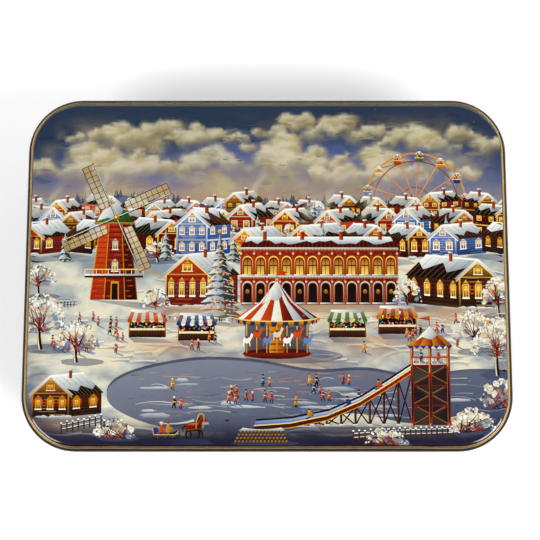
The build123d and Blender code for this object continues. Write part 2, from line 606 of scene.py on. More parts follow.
def paintSpruce(x, y, height, width):
    # tiers of dark needles, each with its load of snow
    tiers = max(4, int(height / sprucePlan["tierHeight"]))
    paint(oval(x + width*0.25, y, width * 0.6, height * 0.045, 8, 0.1), "snowDeep", alpha=0.5)
    paint(post(x, y - 0.1, y + height*0.12, 0.25), "timberDark")
    for tier in range(tiers):
        t = tier / tiers
        low = y + height*(0.06 + 0.86*t)
        half = width/2*(1 - t)*between(0.9, 1.08) + 0.25
        tip = low + height*1.75/tiers
        fringe = setOut(x, low, half, 1, *sprucePlan["needles"])
        paint(fringe + [(x, min(tip, y + height))], "pine", "pineLit", 180)
        snow(setOut(x, low, half, 1, *sprucePlan["snow"]) + [(x, tip - 0.15)], 0, 0.92)
        draw(setOut(x, low, half, 1, *sprucePlan["rightSnow"]), (0.15, 0.35), "snow", alpha=0.8)


def paintFairTree(x, y, height):
    # the big spruce of the fair, hung with balls
    width = height * 0.5
    paintSpruce(x, y, height, width)
    for i in range(int(height * sprucePlan["ballsPerMm"])):
        t = sqrt(hand.random())
        px = x + between(-0.44, 0.44)*width*t
        py = y + height*(0.1 + 0.82*(1 - t))
        paint(oval(px, py, 0.36, 0.36, 8), hand.choice(sprucePlan["balls"]))
        paint(oval(px - 0.1, py + 0.12, 0.12, 0.12, 5), "white")
    paint(oval(x, y + height + 0.2, 0.75, 0.75, 10), "goldLit", "goldDark", -60)


# houses and the windmill; a wall is four corners, its details are placed by shares of its width and height


def onWall(wall, s, t):
    (ax, ay), (bx, by), (cx, cy), (dx, dy) = wall
    lowX, lowY = ax + (bx - ax)*s, ay + (by - ay)*s
    highX, highY = dx + (cx - dx)*s, dy + (cy - dy)*s
    return lowX + (highX - lowX)*t, lowY + (highY - lowY)*t


def wallBox(wall, s0, t0, s1, t1):
    return [onWall(wall, *mark) for mark in box(s0, t0, s1, t1)]


def paintLogs(wall, colour, dark, lit, rows):
    paint(wall, colour, dark)
    for row in range(rows):
        t = row / rows
        paint(wallBox(wall, 0, t, 1, t + 0.26/rows), dark, alpha=0.8)
        s = between(0, 0.5)
        paint(wallBox(wall, s, t + 0.6/rows, s + between(0.3, 0.5), t + 0.85/rows), lit, alpha=0.6)


def paintBricks(wall, colour, dark, lit, rows):
    paint(wall, colour, dark, -60)
    (ax, ay), (bx, by) = wall[0], wall[1]
    across = max(4, int(hypot(bx - ax, by - ay) / 0.9))
    for row in range(rows):
        t = row / rows
        paint(wallBox(wall, 0, t, 1, t + 0.18/rows), dark, alpha=0.55)
        for i in range(across):
            if hand.random() < 0.45:
                s = (i + 0.5*(row % 2)) / across
                mark = wallBox(wall, s, t + 0.3/rows, min(1, s + 0.75/across), t + 0.85/rows)
                paint(mark, hand.choice([lit, dark, "rose"]), alpha=0.5)


def paintWindow(wall, s, t, w, h, surround, shutter=None, small=False):
    # s is the middle of the window and t its sill, w and h its size, all in shares of the wall
    def pane(left, low, right, high):
        return wallBox(wall, s + w*left, t + h*low, s + w*right, t + h*high)

    if shutter:
        paint(pane(-0.95, 0, -0.5, 1), shutter, "ink")
        paint(pane(0.5, 0, 0.95, 1), shutter, "ink")
    paint(pane(-0.62, -0.14, 0.62, 1.12), surround)
    paint(pane(-0.42, 0, 0.42, 1), "ink")
    paint(pane(-0.36, 0.06, 0.36, 0.94), "goldLit", "goldDark")
    if small:
        return
    paint(pane(-0.05, 0, 0.05, 1), surround)
    paint(pane(-0.4, 0.58, 0.4, 0.68), surround)
    peak = setOut(s, t, w, h, (-0.75, 1.1), (0.75, 1.1), (0, 1.5))
    paint([onWall(wall, *mark) for mark in peak], surround, "goldDark")
    paint(pane(-0.7, -0.2, 0.7, -0.06), "white")


def paintChimney(x, y, width, height, smokes=True):
    paint(box(x, y, x + width, y + height), "brickLit", "brickDark", 0)
    for row in range(3):
        paint(box(x, y + height*(row + 0.3)/3, x + width, y + height*(row + 0.42)/3), "brickDark")
    snow(box(x - 0.2, y + height, x + width + 0.2, y + height + 0.45), 0)
    if not smokes:
        return
    smokeX, smokeY = x + width/2, y + height + 0.6

    def field(px, py):
        up = py - smokeY
        drift = smokeX + 0.16*up + 0.022*up**2 + 0.5*np.sin(up*0.9 + x)
        spread = 0.45 + 0.11*np.clip(up, 0, None)
        smoke = np.exp(-((px - drift) / spread) ** 2) * softStep(0, 0.8, up) * softStep(13, 3, up)
        return flatTone(mix("cream", "cloudGrey", 0.25), px), 0.6 * smoke
    wash(field)


housePlan = {
    # courses to a floor, ribs of the roof, furrows in its snow, and in how many steps of its length
    "near": (8, 9, 5, 5.4),
    "small": (5, 5, 2, 2.4),
    "gableRise": 0.46,  # of the width
    "gableBoards": 7,
    "windowStep": 3.4,  # mm of front to each window
    "flankStep": 4.2,
    "raggedSnow": ((1, 0.28), (0.78, 0.14), (0.55, 0.3), (0.3, 0.12), (0, 0.26)),  # along and up the roof
    "smoking": 0.16,  # share of chimneys that smoke
}


def paintHouse(x, y, width, height, depth, style, floors=1, small=False):
    # a gabled house seen at an angle: the front, then its long side going back to the right or left
    courses, ribs, furrows, steps = housePlan["small" if small else "near"]
    wallStyle, (wallTone, wallDark, wallLit), roof, trim, shutter = style
    side = 1 if depth > 0 else -1
    lift = abs(depth) * 0.1
    rise = width * housePlan["gableRise"]
    near = x + width if side > 0 else x
    far = near + depth
    front = box(x, y, x + width, y + height)
    flank = [(near, y), (far, y + lift), (far, y + lift + height*0.97), (near, y + height)]
    apex = (x + width/2, y + height + rise)
    backApex = (apex[0] + depth, apex[1] + lift*0.9)
    rows = courses * floors
    shadow = [(x - 0.5, y - 0.2), (near, y - 0.7), (far + side*0.6, y + lift - 0.5)]
    shadow += [(far + side*5, y + lift - 1.6), (near + side*3.4, y - 2.4), (x + 2.2, y - 1.9)]
    paint(shadow, "snowDeep", "snowShade", 0, 0.6)
    wallStyle(flank, mix(wallTone, wallDark, 0.5), wallDark, wallTone, rows)
    wallStyle(front, wallTone, wallDark, wallLit, rows)
    paint([(x - 0.1, y + height), (x + width + 0.1, y + height), apex], wallTone, wallLit, 90)
    for i in range(housePlan["gableBoards"]):
        s = (i + 0.5) / housePlan["gableBoards"]
        top = height + rise*(1 - abs(2*s - 1))
        paint(post(x + width*s, y + height, y + top, 0.06), wallDark, alpha=0.8)
    columns = max(2, round(width / housePlan["windowStep"]))
    bays = max(2, round(abs(depth) / housePlan["flankStep"]))
    for level in range(floors):
        sill = (level + 0.36) / floors
        for wall, count, wide, tall in ((front, columns, 0.42, 0.36), (flank, bays, 0.32, 0.34)):
            for i in range(count):
                paintWindow(wall, (i + 0.5) / count, sill, wide / count, tall / floors, trim, shutter, small)
        ceiling = (level + 1) / floors
        band = y + height*(level + 1)/floors
        paint(box(x - 0.2, band - 0.3, x + width + 0.2, band), trim, "goldDark")
        paint(wallBox(flank, 0, ceiling - 0.05, 1, ceiling), trim, alpha=0.8)
    attic = box(x + width*0.36, y + height + width*0.06, x + width*0.64, y + height + width*0.26)
    paintWindow(attic, 0.5, 0.1, 0.7, 0.7, trim, None, small)
    for corner in (x, x + width):
        paint(post(corner, y, y + height, 0.25), trim, wallDark, -90, 0.85)
    eave = width * 0.1
    eaveNear = (near + side*eave, y + height - eave*0.75)
    eaveFar = (far + side*eave*0.6, y + lift + height*0.97 - eave*0.7)
    paint([apex, backApex, eaveFar, eaveNear], roof, "ink")

    def onRoof(k, d):
        # k runs along the ridge, d down from it
        topX, topY = apex[0] + depth*k, apex[1] + lift*0.9*k
        lowX = eaveNear[0] + (eaveFar[0] - eaveNear[0])*k
        lowY = eaveNear[1] + (eaveFar[1] - eaveNear[1])*k
        return topX + (lowX - topX)*d, topY + (lowY - topY)*d

    for i in range(ribs):
        k = (i + 0.5) / ribs
        draw([onRoof(k, 0.3), onRoof(k, 1)], 0.13, mix(roof, "ochre", 0.35), alpha=0.75)
    swept = between(1.0, 3.0)  # how far up the roof is clear of snow
    ragged = [onRoof(k, 1 - d*swept) for k, d in housePlan["raggedSnow"]]
    cap = mix("white", "peach", 0.4) if small else "white"  # far roofs catch the evening light
    paint([apex, backApex] + ragged, cap, "snowShade", -75)
    for i in range(furrows):
        line = [onRoof((i + 0.6) / steps, d) for d in (0.08, 0.3, 0.5)]
        draw(line, (0.1, 0.3), "snowDeep", alpha=0.4)
    other = (x - eave if side > 0 else x + width + eave, y + height - eave*0.75)
    snow(ribbon([other, apex], 0.9, 0.75))
    snow(ribbon([apex, eaveNear], 0.75, 0.9))
    underApex = (apex[0], apex[1] - 0.7)
    draw([(other[0], other[1] - 0.65), underApex], 0.32, trim)
    draw([underApex, (eaveNear[0], eaveNear[1] - 0.65)], 0.32, trim)
    paint(oval(apex[0], apex[1] - width*0.13, width * 0.045, width * 0.045, 8), "goldLit", "goldDark")
    draw([apex, backApex], (0.6, 0.5), "white")
    tall = height*0.12 + 1.4
    smokes = hand.random() < housePlan["smoking"]
    paintChimney(apex[0] + depth*0.55, apex[1] + lift*0.5 - tall*0.5, tall * 0.42, tall, smokes)
    for i in range(int(width * 0.9)):  # snow banked against the walls
        px = x + between(0, width)
        snow(oval(px, y, between(0.7, 1.6), between(0.25, 0.6), 8), -90, 0.9)


def archLine(x, y, half, tall, steps=8):
    # an opening with a round head, from its left foot to its right
    line = [(x - half, y)]
    for i in range(steps + 1):
        a = pi * i / steps
        line.append((x - half*cos(a), y + tall - half + half*sin(a)))
    return line + [(x + half, y)]


arcadePlan = {
    "place": (-8, -10.5),  # left foot
    "width": 48,
    "height": 17.5,
    "bays": 12,
    "roof": 3.6,
    "courses": 22,
    "floors": [  # foot and height of the openings, in shares of the height; arch, top and foot of the glass
        (0.03, 0.36, "cream", "timberDark", "ink"),
        (0.53, 0.31, "goldLit", "goldLit", "brick"),
    ],
    "chimneys": [(0.14, False), (0.38, True), (0.63, False), (0.88, False)],  # place along the roof, smoke
}


def paintArcade():
    # the long market hall: two floors of brick arches under a low roof
    x, y = arcadePlan["place"]
    width, height, bays = arcadePlan["width"], arcadePlan["height"], arcadePlan["bays"]
    right, eave = x + width, y + height
    roofTop = eave + arcadePlan["roof"]
    paint([(x, y), (right, y), (right + 4, y - 2.2), (x + 3, y - 2.6)], "snowDeep", "snowShade", -90, 0.7)
    paintBricks(box(x, y, right, eave), "brick", "brickDark", "brickLit", arcadePlan["courses"])
    roof = [(x - 0.6, eave), (right + 0.6, eave), (right - 2, roofTop), (x + 2, roofTop)]
    paint(roof, "brickDark", "maroon")
    for i in range(bays * 3):
        px = x + width*(i + 0.5)/bays/3
        draw([(px, eave), (px*0.94 + (x + width/2)*0.06, roofTop)], 0.14, "brick", alpha=0.8)
    load = [(x + 2, roofTop), (x + 1.2, roofTop - 1.3)]
    for i in range(bays*2 + 1):
        load.append((x + 1.2 + (width - 2.4)*i/bays/2, roofTop - between(0.9, 2.9)))
    snow(load + [(right - 2, roofTop)])
    step = width / bays
    for level, (low, share, arch, glass, glassLow) in enumerate(arcadePlan["floors"]):
        foot, tall = y + height*low, height * share
        for i in range(bays):
            px = x + step*(i + 0.5)
            paint(archLine(px, foot, step * 0.4, tall + 0.45), arch, "goldDark")
            paint(archLine(px, foot, step * 0.34, tall), "brickDark", "maroon")
            paint(archLine(px, foot, step * 0.27, tall - 0.4), glass, glassLow, 90)
            if level:
                paint(post(px, foot, foot + tall - 0.5, 0.08), "timberDark")
                paint(post(px, foot + tall*0.5, foot + tall*0.56, step * 0.27), "timberDark")
            elif hand.random() < 0.6:  # a lantern in the arch
                lantern = oval(px, foot + tall*0.55, step * 0.16, step * 0.2, 8)
                paint(lantern, "gold", "brickDark", -90, 0.9)
            snow(post(px, foot - 0.25, foot + 0.12, step * 0.44), 0)
        for i in range(bays + 1):
            px = x + step*i
            paint(post(px, foot, foot + height*0.44, 0.22), "brickLit", "brick", 0)
            paint(post(px, foot + height*0.36, foot + height*0.39, 0.3), "cream")
        top = y + height*(0.46 + 0.5*level)
        paint(box(x - 0.4, top, right + 0.4, top + 0.75), "cream", "goldDark")
        snow(box(x - 0.4, top + 0.7, right + 0.4, top + 0.95), 0)
        for i in range(bays * 4):
            paint(post(x + width*(i + 0.5)/bays/4, top + 0.1, top + 0.5, 0.13), "brick")
    for share, smokes in arcadePlan["chimneys"]:
        paintChimney(x + width*share, roofTop - 1.0, 1.2, 2.6, smokes)


windmillPlan = {
    "foot": (-47.0, -9.0),
    "height": 24.0,
    "footWidth": 14.5,
    "headWidth": 9.0,
    "facets": [  # left and right in shares of the width, colours
        (-0.5, -0.2, "brickLit", "brick"),
        (-0.2, 0.24, "brick", "brickDark"),
        (0.24, 0.5, "brickDark", "maroon"),
    ],
    "courses": 15,
    "deck": 0.3,  # of the height
    "pickets": 11,
    "cap": [(-0.68, 0), (0.68, 0), (0.4, 3.6), (0, 6.2), (-0.4, 3.6)],
    "capSnow": [(-0.62, 0.5), (-0.25, 1.6), (0, 1.0), (0.2, 2.6), (0.3, 4.4), (0, 6.3), (-0.42, 3.8)],
    "sail": 18.5,
    "sailTurn": 24.0,  # degrees
    "cloth": [(0.2, 0.04), (1, 0.04), (1, 0.21), (0.24, 0.18)],  # along and across the sail's arm
    "slats": 9,
}


def paintWindmill():
    fx, fy = windmillPlan["foot"]
    tall = windmillPlan["height"]
    wide, slim = windmillPlan["footWidth"], windmillPlan["headWidth"]
    headY = fy + tall
    shadow = setOut(fx, fy, wide, 1, (-0.5, 0), (0.5, -0.6), (1.5, -3.4), (0.9, -3.8))
    paint(shadow, "snowDeep", "snowShade", 0, 0.6)
    walls = []
    for left, right, lit, dark in windmillPlan["facets"]:
        wall = setOut(fx, fy, wide, 1, (left, 0), (right, 0))
        wall += setOut(fx, headY, slim, 1, (right, 0), (left, 0))
        paintLogs(wall, lit, dark, "brickLit", windmillPlan["courses"])
        draw([wall[0], wall[3]], 0.28, "gold", alpha=0.85)
        walls.append(wall)
    draw([walls[-1][1], walls[-1][2]], 0.28, "goldDark")
    paint(wallBox(walls[1], 0.3, 0, 0.72, 0.24), "gold")
    paint(wallBox(walls[1], 0.36, 0, 0.66, 0.21), "timberDark", "ink")
    paintWindow(walls[1], 0.5, 0.38, 0.3, 0.1, "cream", "blue")
    paintWindow(walls[1], 0.5, 0.66, 0.3, 0.09, "cream", "blue")
    deck = fy + tall*windmillPlan["deck"]
    half = wide * 0.62
    paint(post(fx, deck - 0.35, deck + 0.35, half), "timber", "timberDark")
    snow(post(fx, deck + 0.3, deck + 0.8, half), 0)
    for i in range(windmillPlan["pickets"]):
        px = fx - half + 2*half*i/(windmillPlan["pickets"] - 1)
        paint(post(px, deck + 0.5, deck + 2.3, 0.12), "gold" if i % 2 else "cream")
    paint(post(fx, deck + 2.1, deck + 2.4, half), "goldLit")
    paint(setOut(fx, headY, slim, 1, *windmillPlan["cap"]), "leaf", "leafDark", -45)
    for k in (-0.45, -0.15, 0.15, 0.45):
        draw(setOut(fx, headY, slim, 1, (k, 0), (k * 0.5, 4.4)), 0.14, "leafDark")
    snow(setOut(fx, headY, slim, 1, *windmillPlan["capSnow"]), -30)
    paint(post(fx, headY - 0.5, headY + 0.1, slim * 0.7), "gold", "goldDark")
    hubX, hubY = fx + 0.4, headY + 1.6
    reach = windmillPlan["sail"]
    for arm in range(4):
        turn = windmillPlan["sailTurn"] + 90*arm
        ux, uy = cos(radians(turn)), sin(radians(turn))

        def onSail(along, across):
            # the arm runs from the hub to 1, its cloth to the left of it
            px = hubX + ux*reach*along - uy*reach*across
            return px, hubY + uy*reach*along + ux*reach*across

        paint([onSail(*mark) for mark in windmillPlan["cloth"]], "cream", "ochre", turn, 0.8)
        for i in range(windmillPlan["slats"]):
            k = 0.22 + 0.78*i/(windmillPlan["slats"] - 1)
            draw([onSail(k, 0), onSail(k, 0.2)], 0.2, "timber")
        for across in (0.1, 0.2):
            draw([onSail(0.22, across), onSail(1, across)], 0.2, "timberDark")
        draw([(hubX, hubY), onSail(1.02, 0)], (0.6, 0.34), "timberDark")
        tipX, tipY = onSail(1, 0)
        draw([(hubX, hubY + 0.15), (tipX, tipY + 0.12)], (0.22, 0.14), "white", alpha=0.85)
    paint(oval(hubX, hubY, 0.9, 0.9, 12), "gold", "goldDark")
    paint(oval(hubX - 0.15, hubY + 0.2, 0.4, 0.4, 8), "goldLit")


# the fair: a round tent, stalls, people, a sledge, fences, the frozen pond and the ice slide

tentPlan = {
    "stripes": 11,
    "rim": (0.54, 0.05),  # half the canopy's width and how far its front hangs, in shares of the width
    "horses": 7,
    "horseCoats": ["white", "brickLit", "blueLit", "cream"],
    "neck": [(0.03, 0), (0.06, 0.1), (0.09, 0.07), (0.055, 0)],
    "snow": [(-0.2, 0.36), (-0.1, 0.5), (0, 0.44), (0.08, 0.6)],
    "pennant": [(0, 3.2), (3.4, 2.6), (2.4, 2.1), (3.2, 1.5), (0, 1.6)],
}


def paintTent(x, y, width, height):
    # a merry-go-round under a striped canopy
    eave, top = y + height*0.5, y + height
    stripes = tentPlan["stripes"]
    paint(oval(x + width*0.22, y - 0.2, width * 0.66, height * 0.1, 16), "snowDeep", alpha=0.6)
    paint(oval(x, y + 0.5, width * 0.46, height * 0.07, 16), "maroon", "brick", 90)
    paint(post(x, y + 0.8, eave, width * 0.42), "blueDark", "maroon", -90, 0.85)
    paint(post(x, y + 0.8, eave, width * 0.1), "gold", "goldDark", 0)
    for i in range(5):
        paint(oval(x, y + 1.6 + i*height*0.08, width * 0.1, 0.3, 8), "brick")
    for i in range(tentPlan["horses"]):
        px = x + width*(-0.4 + 0.8*i/(tentPlan["horses"] - 1))
        py = y + height*(0.2 + 0.08*(i % 2))
        paint(post(px, y + 0.8, eave, 0.13), "goldLit", "gold")
        coat = tentPlan["horseCoats"][i % 4]
        paint(oval(px, py, width * 0.055, height * 0.045, 8), coat)
        paint(setOut(px, py, width, height, *tentPlan["neck"]), coat)
        for leg in (-1, 1):
            draw(setOut(px, py, width, height, (leg * 0.035, 0), (leg * 0.045, -0.08)), 0.3, coat)
        paint(oval(px, py + height*0.04, width * 0.022, height * 0.02, 6), "brick")

    def rim(k):
        a = pi * (1 - k)
        half, hang = tentPlan["rim"]
        return x + width*half*cos(a), eave - width*hang*sin(a)

    for i in range(stripes):
        a, b = i / stripes, (i + 1) / stripes
        sag = [(x + (rim(k)[0] - x)*0.42, eave + (top - eave)*0.42) for k in (a, b)]
        gore = [(x, top), sag[0], rim(a), rim((i + 0.5) / stripes), rim(b), sag[1]]
        lit = i < stripes / 2
        if i % 2:
            paint(gore, "white", "snowCream" if lit else "snowShade", 0)
        else:
            paint(gore, *(("brickLit", "brick") if lit else ("brick", "maroon")), 0)
    for i in range(stripes * 2):  # scalloped valance
        (ax, ay), (bx, by) = rim(i / stripes / 2), rim((i + 1) / stripes / 2)
        flap = [(ax, ay), (bx, by), (bx, by - 1.0), ((ax + bx) / 2, (ay + by)/2 - 1.7), (ax, ay - 1.0)]
        paint(flap, *(("gold", "goldDark") if i % 2 else ("blue", "blueDark")), -90)
    draw([rim(i / 16) for i in range(17)], 0.35, "goldLit")
    snow(setOut(x, eave, width, top - eave, *tentPlan["snow"]) + [(x, top + 0.2)], -30, 0.9)
    draw([(x, top), (x, top + 3.2)], (0.3, 0.2), "goldDark")
    paint(setOut(x, top, 1, 1, *tentPlan["pennant"]), "brickLit", "brick", 0)
    paint(oval(x, top + 0.1, 0.55, 0.55, 10), "goldLit", "goldDark")


stallPlan = {
    "goods": ["gold", "brickLit", "leaf", "cream", "blueLit", "rose"],
    "goodsPerMm": 3,
    "board": 0.8,  # mm, of the counter
    "stripe": 1.3,
    "overhang": 0.6,
}


def paintStall(x, y, width, height, first, second):
    right, back, fore = x + width, y + height, y + height*0.66
    over = stallPlan["overhang"]
    shadow = [(x - 0.3, y), (right, y - 0.6), (right + 3, y - 1.8), (x + 1.6, y - 1.6)]
    paint(shadow, "snowDeep", "snowShade", 0, 0.6)
    paint(box(x, y, right, y + height*0.68), "timberDark", "ink", 90)
    for i in range(int(width * stallPlan["goodsPerMm"])):  # hanging and heaped
        px = x + between(0.4, width - 0.4)
        py = y + height*between(0.34, 0.6)
        thing = oval(px, py, between(0.18, 0.4), between(0.18, 0.4), 6)
        paint(thing, hand.choice(stallPlan["goods"]))
    paint(box(x - 0.2, y, right + 0.2, y + height*0.3), "timber", "timberDark")
    for i in range(int(width / stallPlan["board"])):
        px = x + stallPlan["board"]*i
        paint(box(px, y, px + 0.12, y + height*0.3), "timberDark")
    paint(box(x - 0.3, y + height*0.27, right + 0.3, y + height*0.35), "snowCream")
    for px in (x, right):
        paint(post(px, y, y + height*0.8, 0.16), "gold", "timber")
    stripes = max(5, int(width / stallPlan["stripe"])) | 1

    def backX(k):
        return x + over + (width - 2*over)*k

    def foreX(k):
        return x - over + (width + 2*over)*k

    for i in range(stripes):
        a, b = i / stripes, (i + 1) / stripes
        colour = second if i % 2 else first
        gore = [(backX(a), back), (backX(b), back), (foreX(b), fore), (foreX(a), fore)]
        paint(gore, mix(colour, "white", 0.15), mix(colour, "ink", 0.25))
        flap = [gore[3], gore[2], (foreX(b), fore - 0.45)]
        flap += [(foreX((a + b) / 2), fore - 0.85), (foreX(a), fore - 0.45)]
        paint(flap, mix(colour, "ink", 0.12))
    draw([(x - over, fore), (right + over, fore)], 0.14, "ink", alpha=0.5)
    load = [(x + 0.3, back - 0.1)] + setOut(x, back, width, 1, (0.3, -0.55), (0.55, -0.2), (0.8, -0.6))
    load += [(right - 0.3, back - 0.1), (right - 0.6, back + 0.5), (x + 0.6, back + 0.5)]
    snow(load, 0)


walkerPlan = {
    "coats": ["brickLit", "brick", "gold", "rose", "blue", "maroon", "brickLit", "timber", "brick"],
    "belts": ["goldLit", "cream", "ink"],
    "hats": ["timberDark", "brick", "goldDark", "blueDark", "cream"],
    "coat": [(-0.85, 0.2), (0.85, 0.2), (0.5, 0.56), (0.62, 0.74), (0, 0.8), (-0.62, 0.74), (-0.5, 0.56)],
    "light": [(-0.62, 0.3), (-0.3, 0.3), (-0.25, 0.7), (-0.5, 0.7)],
}


def paintPerson(x, y, tall, coat=None, stride=0.0):
    # a walker a few millimetres tall, with a blue shadow on the snow
    coat = coat or hand.choice(walkerPlan["coats"])
    wide = tall * 0.2
    lean = stride * tall * 0.12
    shadow = [(x - wide*0.6, y), (x + wide*0.7, y + 0.05)]
    shadow += setOut(x, y, tall, tall, (0.75, -0.26), (0.6, -0.32))
    paint(shadow, "snowDeep", "blueLit", 0, 0.75)
    knee = y + tall*0.34
    draw([(x - wide*0.35 - lean, y), (x - wide*0.2, knee)], tall * 0.09, "ink")
    draw([(x + wide*0.4 + lean, y), (x + wide*0.2, knee)], tall * 0.09, "ink")
    paint(setOut(x, y, wide, tall, *walkerPlan["coat"]), coat, mix(coat, "ink", 0.55), -20)
    paint(setOut(x, y, wide, tall, *walkerPlan["light"]), mix(coat, "white", 0.4), alpha=0.7)
    arm = setOut(x, y, wide, tall, (0.5, 0.7), (0.9 + stride*0.5, 0.45))
    draw(arm, tall * 0.08, mix(coat, "ink", 0.35))
    paint(post(x, y + tall*0.5, y + tall*0.56, wide * 0.6), hand.choice(walkerPlan["belts"]))
    paint(oval(x, y + tall*0.87, tall * 0.085, tall * 0.095, 8), "skin")
    paint(oval(x, y + tall*0.94, tall * 0.11, tall * 0.075, 8), hand.choice(walkerPlan["hats"]))


sledgePlan = {  # points in mm from the foot of the sledge's front, at size 1
    "shadow": [(-6, -0.2), (7.6, -0.2), (9.6, -1.5), (-3.2, -1.5)],
    "legs": [
        [(2.5, 0), (2.2, 1.1), (2.7, 2.2)],
        [(3.3, 0), (3.6, 1.2), (3.1, 2.2)],
        [(5.4, 0.2), (5.9, 1.2), (5.3, 2.3)],
        [(6.6, 0.5), (6.5, 1.5), (5.7, 2.4)],
    ],
    "horse": [
        (2.1, 2.2), (2.0, 3.3), (2.7, 3.9), (4.2, 3.7), (5.2, 3.9), (6.2, 5.4), (6.5, 6.0), (6.7, 5.6),
        (7.7, 4.9), (7.6, 4.5), (7.2, 4.4), (6.6, 4.6), (6.3, 3.2), (5.9, 2.3), (4.6, 1.9), (3.0, 1.9),
    ],
    "back": [(2.6, 3.5), (4.2, 3.4), (5.3, 3.6), (6.0, 4.6), (5.2, 4.1), (4.2, 3.8), (2.8, 3.9)],
    "mane": [(5.1, 3.9), (6.2, 5.6), (6.3, 6.0), (5.6, 5.4), (4.9, 4.3)],
    "hull": [
        (-6.6, 2.8), (-6.3, 0.9), (-0.6, 0.9), (0.4, 1.9),
        (-0.2, 2.2), (-1.4, 1.6), (-4.4, 1.7), (-5.4, 2.9),
    ],
    "harness": [  # points, width, colour
        ([(4.9, 2.6), (5.0, 4.6), (5.6, 6.3), (6.2, 6.6), (6.9, 6.2), (7.0, 4.0), (6.6, 2.7)], 0.3, "gold"),
        ([(5.0, 4.4), (5.6, 6.2), (6.2, 6.5), (6.9, 6.1)], 0.1, "goldLit"),
        ([(-2.0, 1.4), (2.0, 2.2), (6.0, 2.6)], 0.2, "goldDark"),
        ([(-1.4, 3.2), (2.0, 3.7), (7.2, 4.7)], 0.1, "maroon"),
        ([(-6.4, 0.1), (-0.6, 0.1), (0.4, 0.5), (0.7, 1.3), (0.3, 1.8)], 0.24, "ink"),
        ([(-5.2, 0.1), (-5.1, 1.0)], 0.2, "goldDark"),
        ([(-3.2, 0.1), (-3.1, 1.0)], 0.2, "goldDark"),
        ([(-1.2, 0.1), (-1.1, 1.0)], 0.2, "goldDark"),
    ],
    "riders": [(-4.2, "brickLit", "cream"), (-2.4, "gold", "brick")],  # place, coat, hat
}


def paintSledge(x, y, size):
    # a horse in harness drawing a sledge to the right
    def at(*points):
        return setOut(x, y, size, size, *points)

    def dot(px, py, rx, ry, count, colour):
        paint(oval(x + px*size, y + py*size, rx * size, ry * size, count), colour)

    paint(at(*sledgePlan["shadow"]), "blueDark", "snowDeep", 0, 0.45)
    for leg in sledgePlan["legs"]:
        draw(at(*leg), (0.34 * size, 0.6 * size), "timberDark")
    paint(at(*sledgePlan["horse"]), "brick", "timberDark", -70)
    paint(at(*sledgePlan["back"]), "brickLit", alpha=0.8)
    paint(at(*sledgePlan["mane"]), "ink")
    draw(at((2.1, 3.3), (1.5, 2.8), (1.4, 1.6)), (0.5 * size, 0.15 * size), "ink")
    for line, width, colour in sledgePlan["harness"]:
        draw(at(*line), width * size, colour)
    paint(at(*sledgePlan["hull"]), "blue", "blueDark", -60)
    draw(at((-6.5, 2.8), (-6.2, 1.0), (-0.6, 1.0), (0.3, 1.9)), 0.16 * size, "goldLit")
    for px in (-5.0, -3.6, -2.4):
        dot(px, 1.35, 0.25, 0.25, 6, "rose")
    for px, coat, hat in sledgePlan["riders"]:
        cloak = at((px - 0.7, 1.6), (px + 0.7, 1.6), (px + 0.5, 3.2), (px, 3.6), (px - 0.5, 3.2))
        paint(cloak, coat, mix(coat, "ink", 0.5), -20)
        draw(at((px + 0.3, 2.9), (px + 1.2, 2.6)), 0.35 * size, mix(coat, "ink", 0.3))
        dot(px, 3.85, 0.36, 0.4, 8, "skin")
        dot(px, 4.15, 0.45, 0.32, 8, hat)


def paintFence(path, tall):
    # pickets along a path, each with its cap of snow
    for (ax, ay), (bx, by) in zip(path, path[1:]):
        count = max(2, int(hypot(bx - ax, by - ay) / (tall * 0.5)))
        for level in (0.35, 0.72):
            for height, thick, colour in ((level, 0.1, "timberDark"), (level + 0.07, 0.06, "white")):
                draw([(ax, ay + tall*height), (bx, by + tall*height)], tall * thick, colour)
        for step in range(count):
            px, py = ax + (bx - ax)*step/count, ay + (by - ay)*step/count
            top = tall * between(0.92, 1.08)
            paint(post(px, py - 0.1, py + top, tall * 0.07), "timber", "timberDark", 0)
            paint(oval(px, py + top, tall * 0.12, tall * 0.08, 6), "white")


pondPlan = {
    "bank": [
        (-40, -31), (-22, -27.5), (-4, -28), (14, -31), (30, -30.5), (46, -33), (62, -31), (78, -33),
        (78, -45), (60, -44), (44, -46.5), (26, -43.5), (8, -46), (-12, -49), (-32, -47.5), (-46, -42),
        (-48, -36),
    ],
    "mirrored": [(3, 8), (-30, 6), (31, 6)],  # middles and half widths of what is lit above the ice
    "warm": ["brick", "gold", "brickLit", "peach"],
    "cold": ["snowDeep", "blueDark", "ice", "snowShade"],
    "reflections": 190,
    "skateMarks": 60,
    "snowPatches": 20,
}


def smoothLoop(points, steps):
    # a closed curve through the points
    count = len(points)
    curve = []
    for i in range(count):
        p0, p1, p2, p3 = [points[(i + k) % count] for k in (-1, 0, 1, 2)]
        for step in range(steps):
            t = step / steps
            pair = []
            for a, b, c, d in zip(p0, p1, p2, p3):
                bend = 2*a - 5*b + 4*c - d + t*(3*(b - c) + d - a)
                pair.append(b + 0.5*t*(c - a + t*bend))
            curve.append(tuple(pair))
    return curve


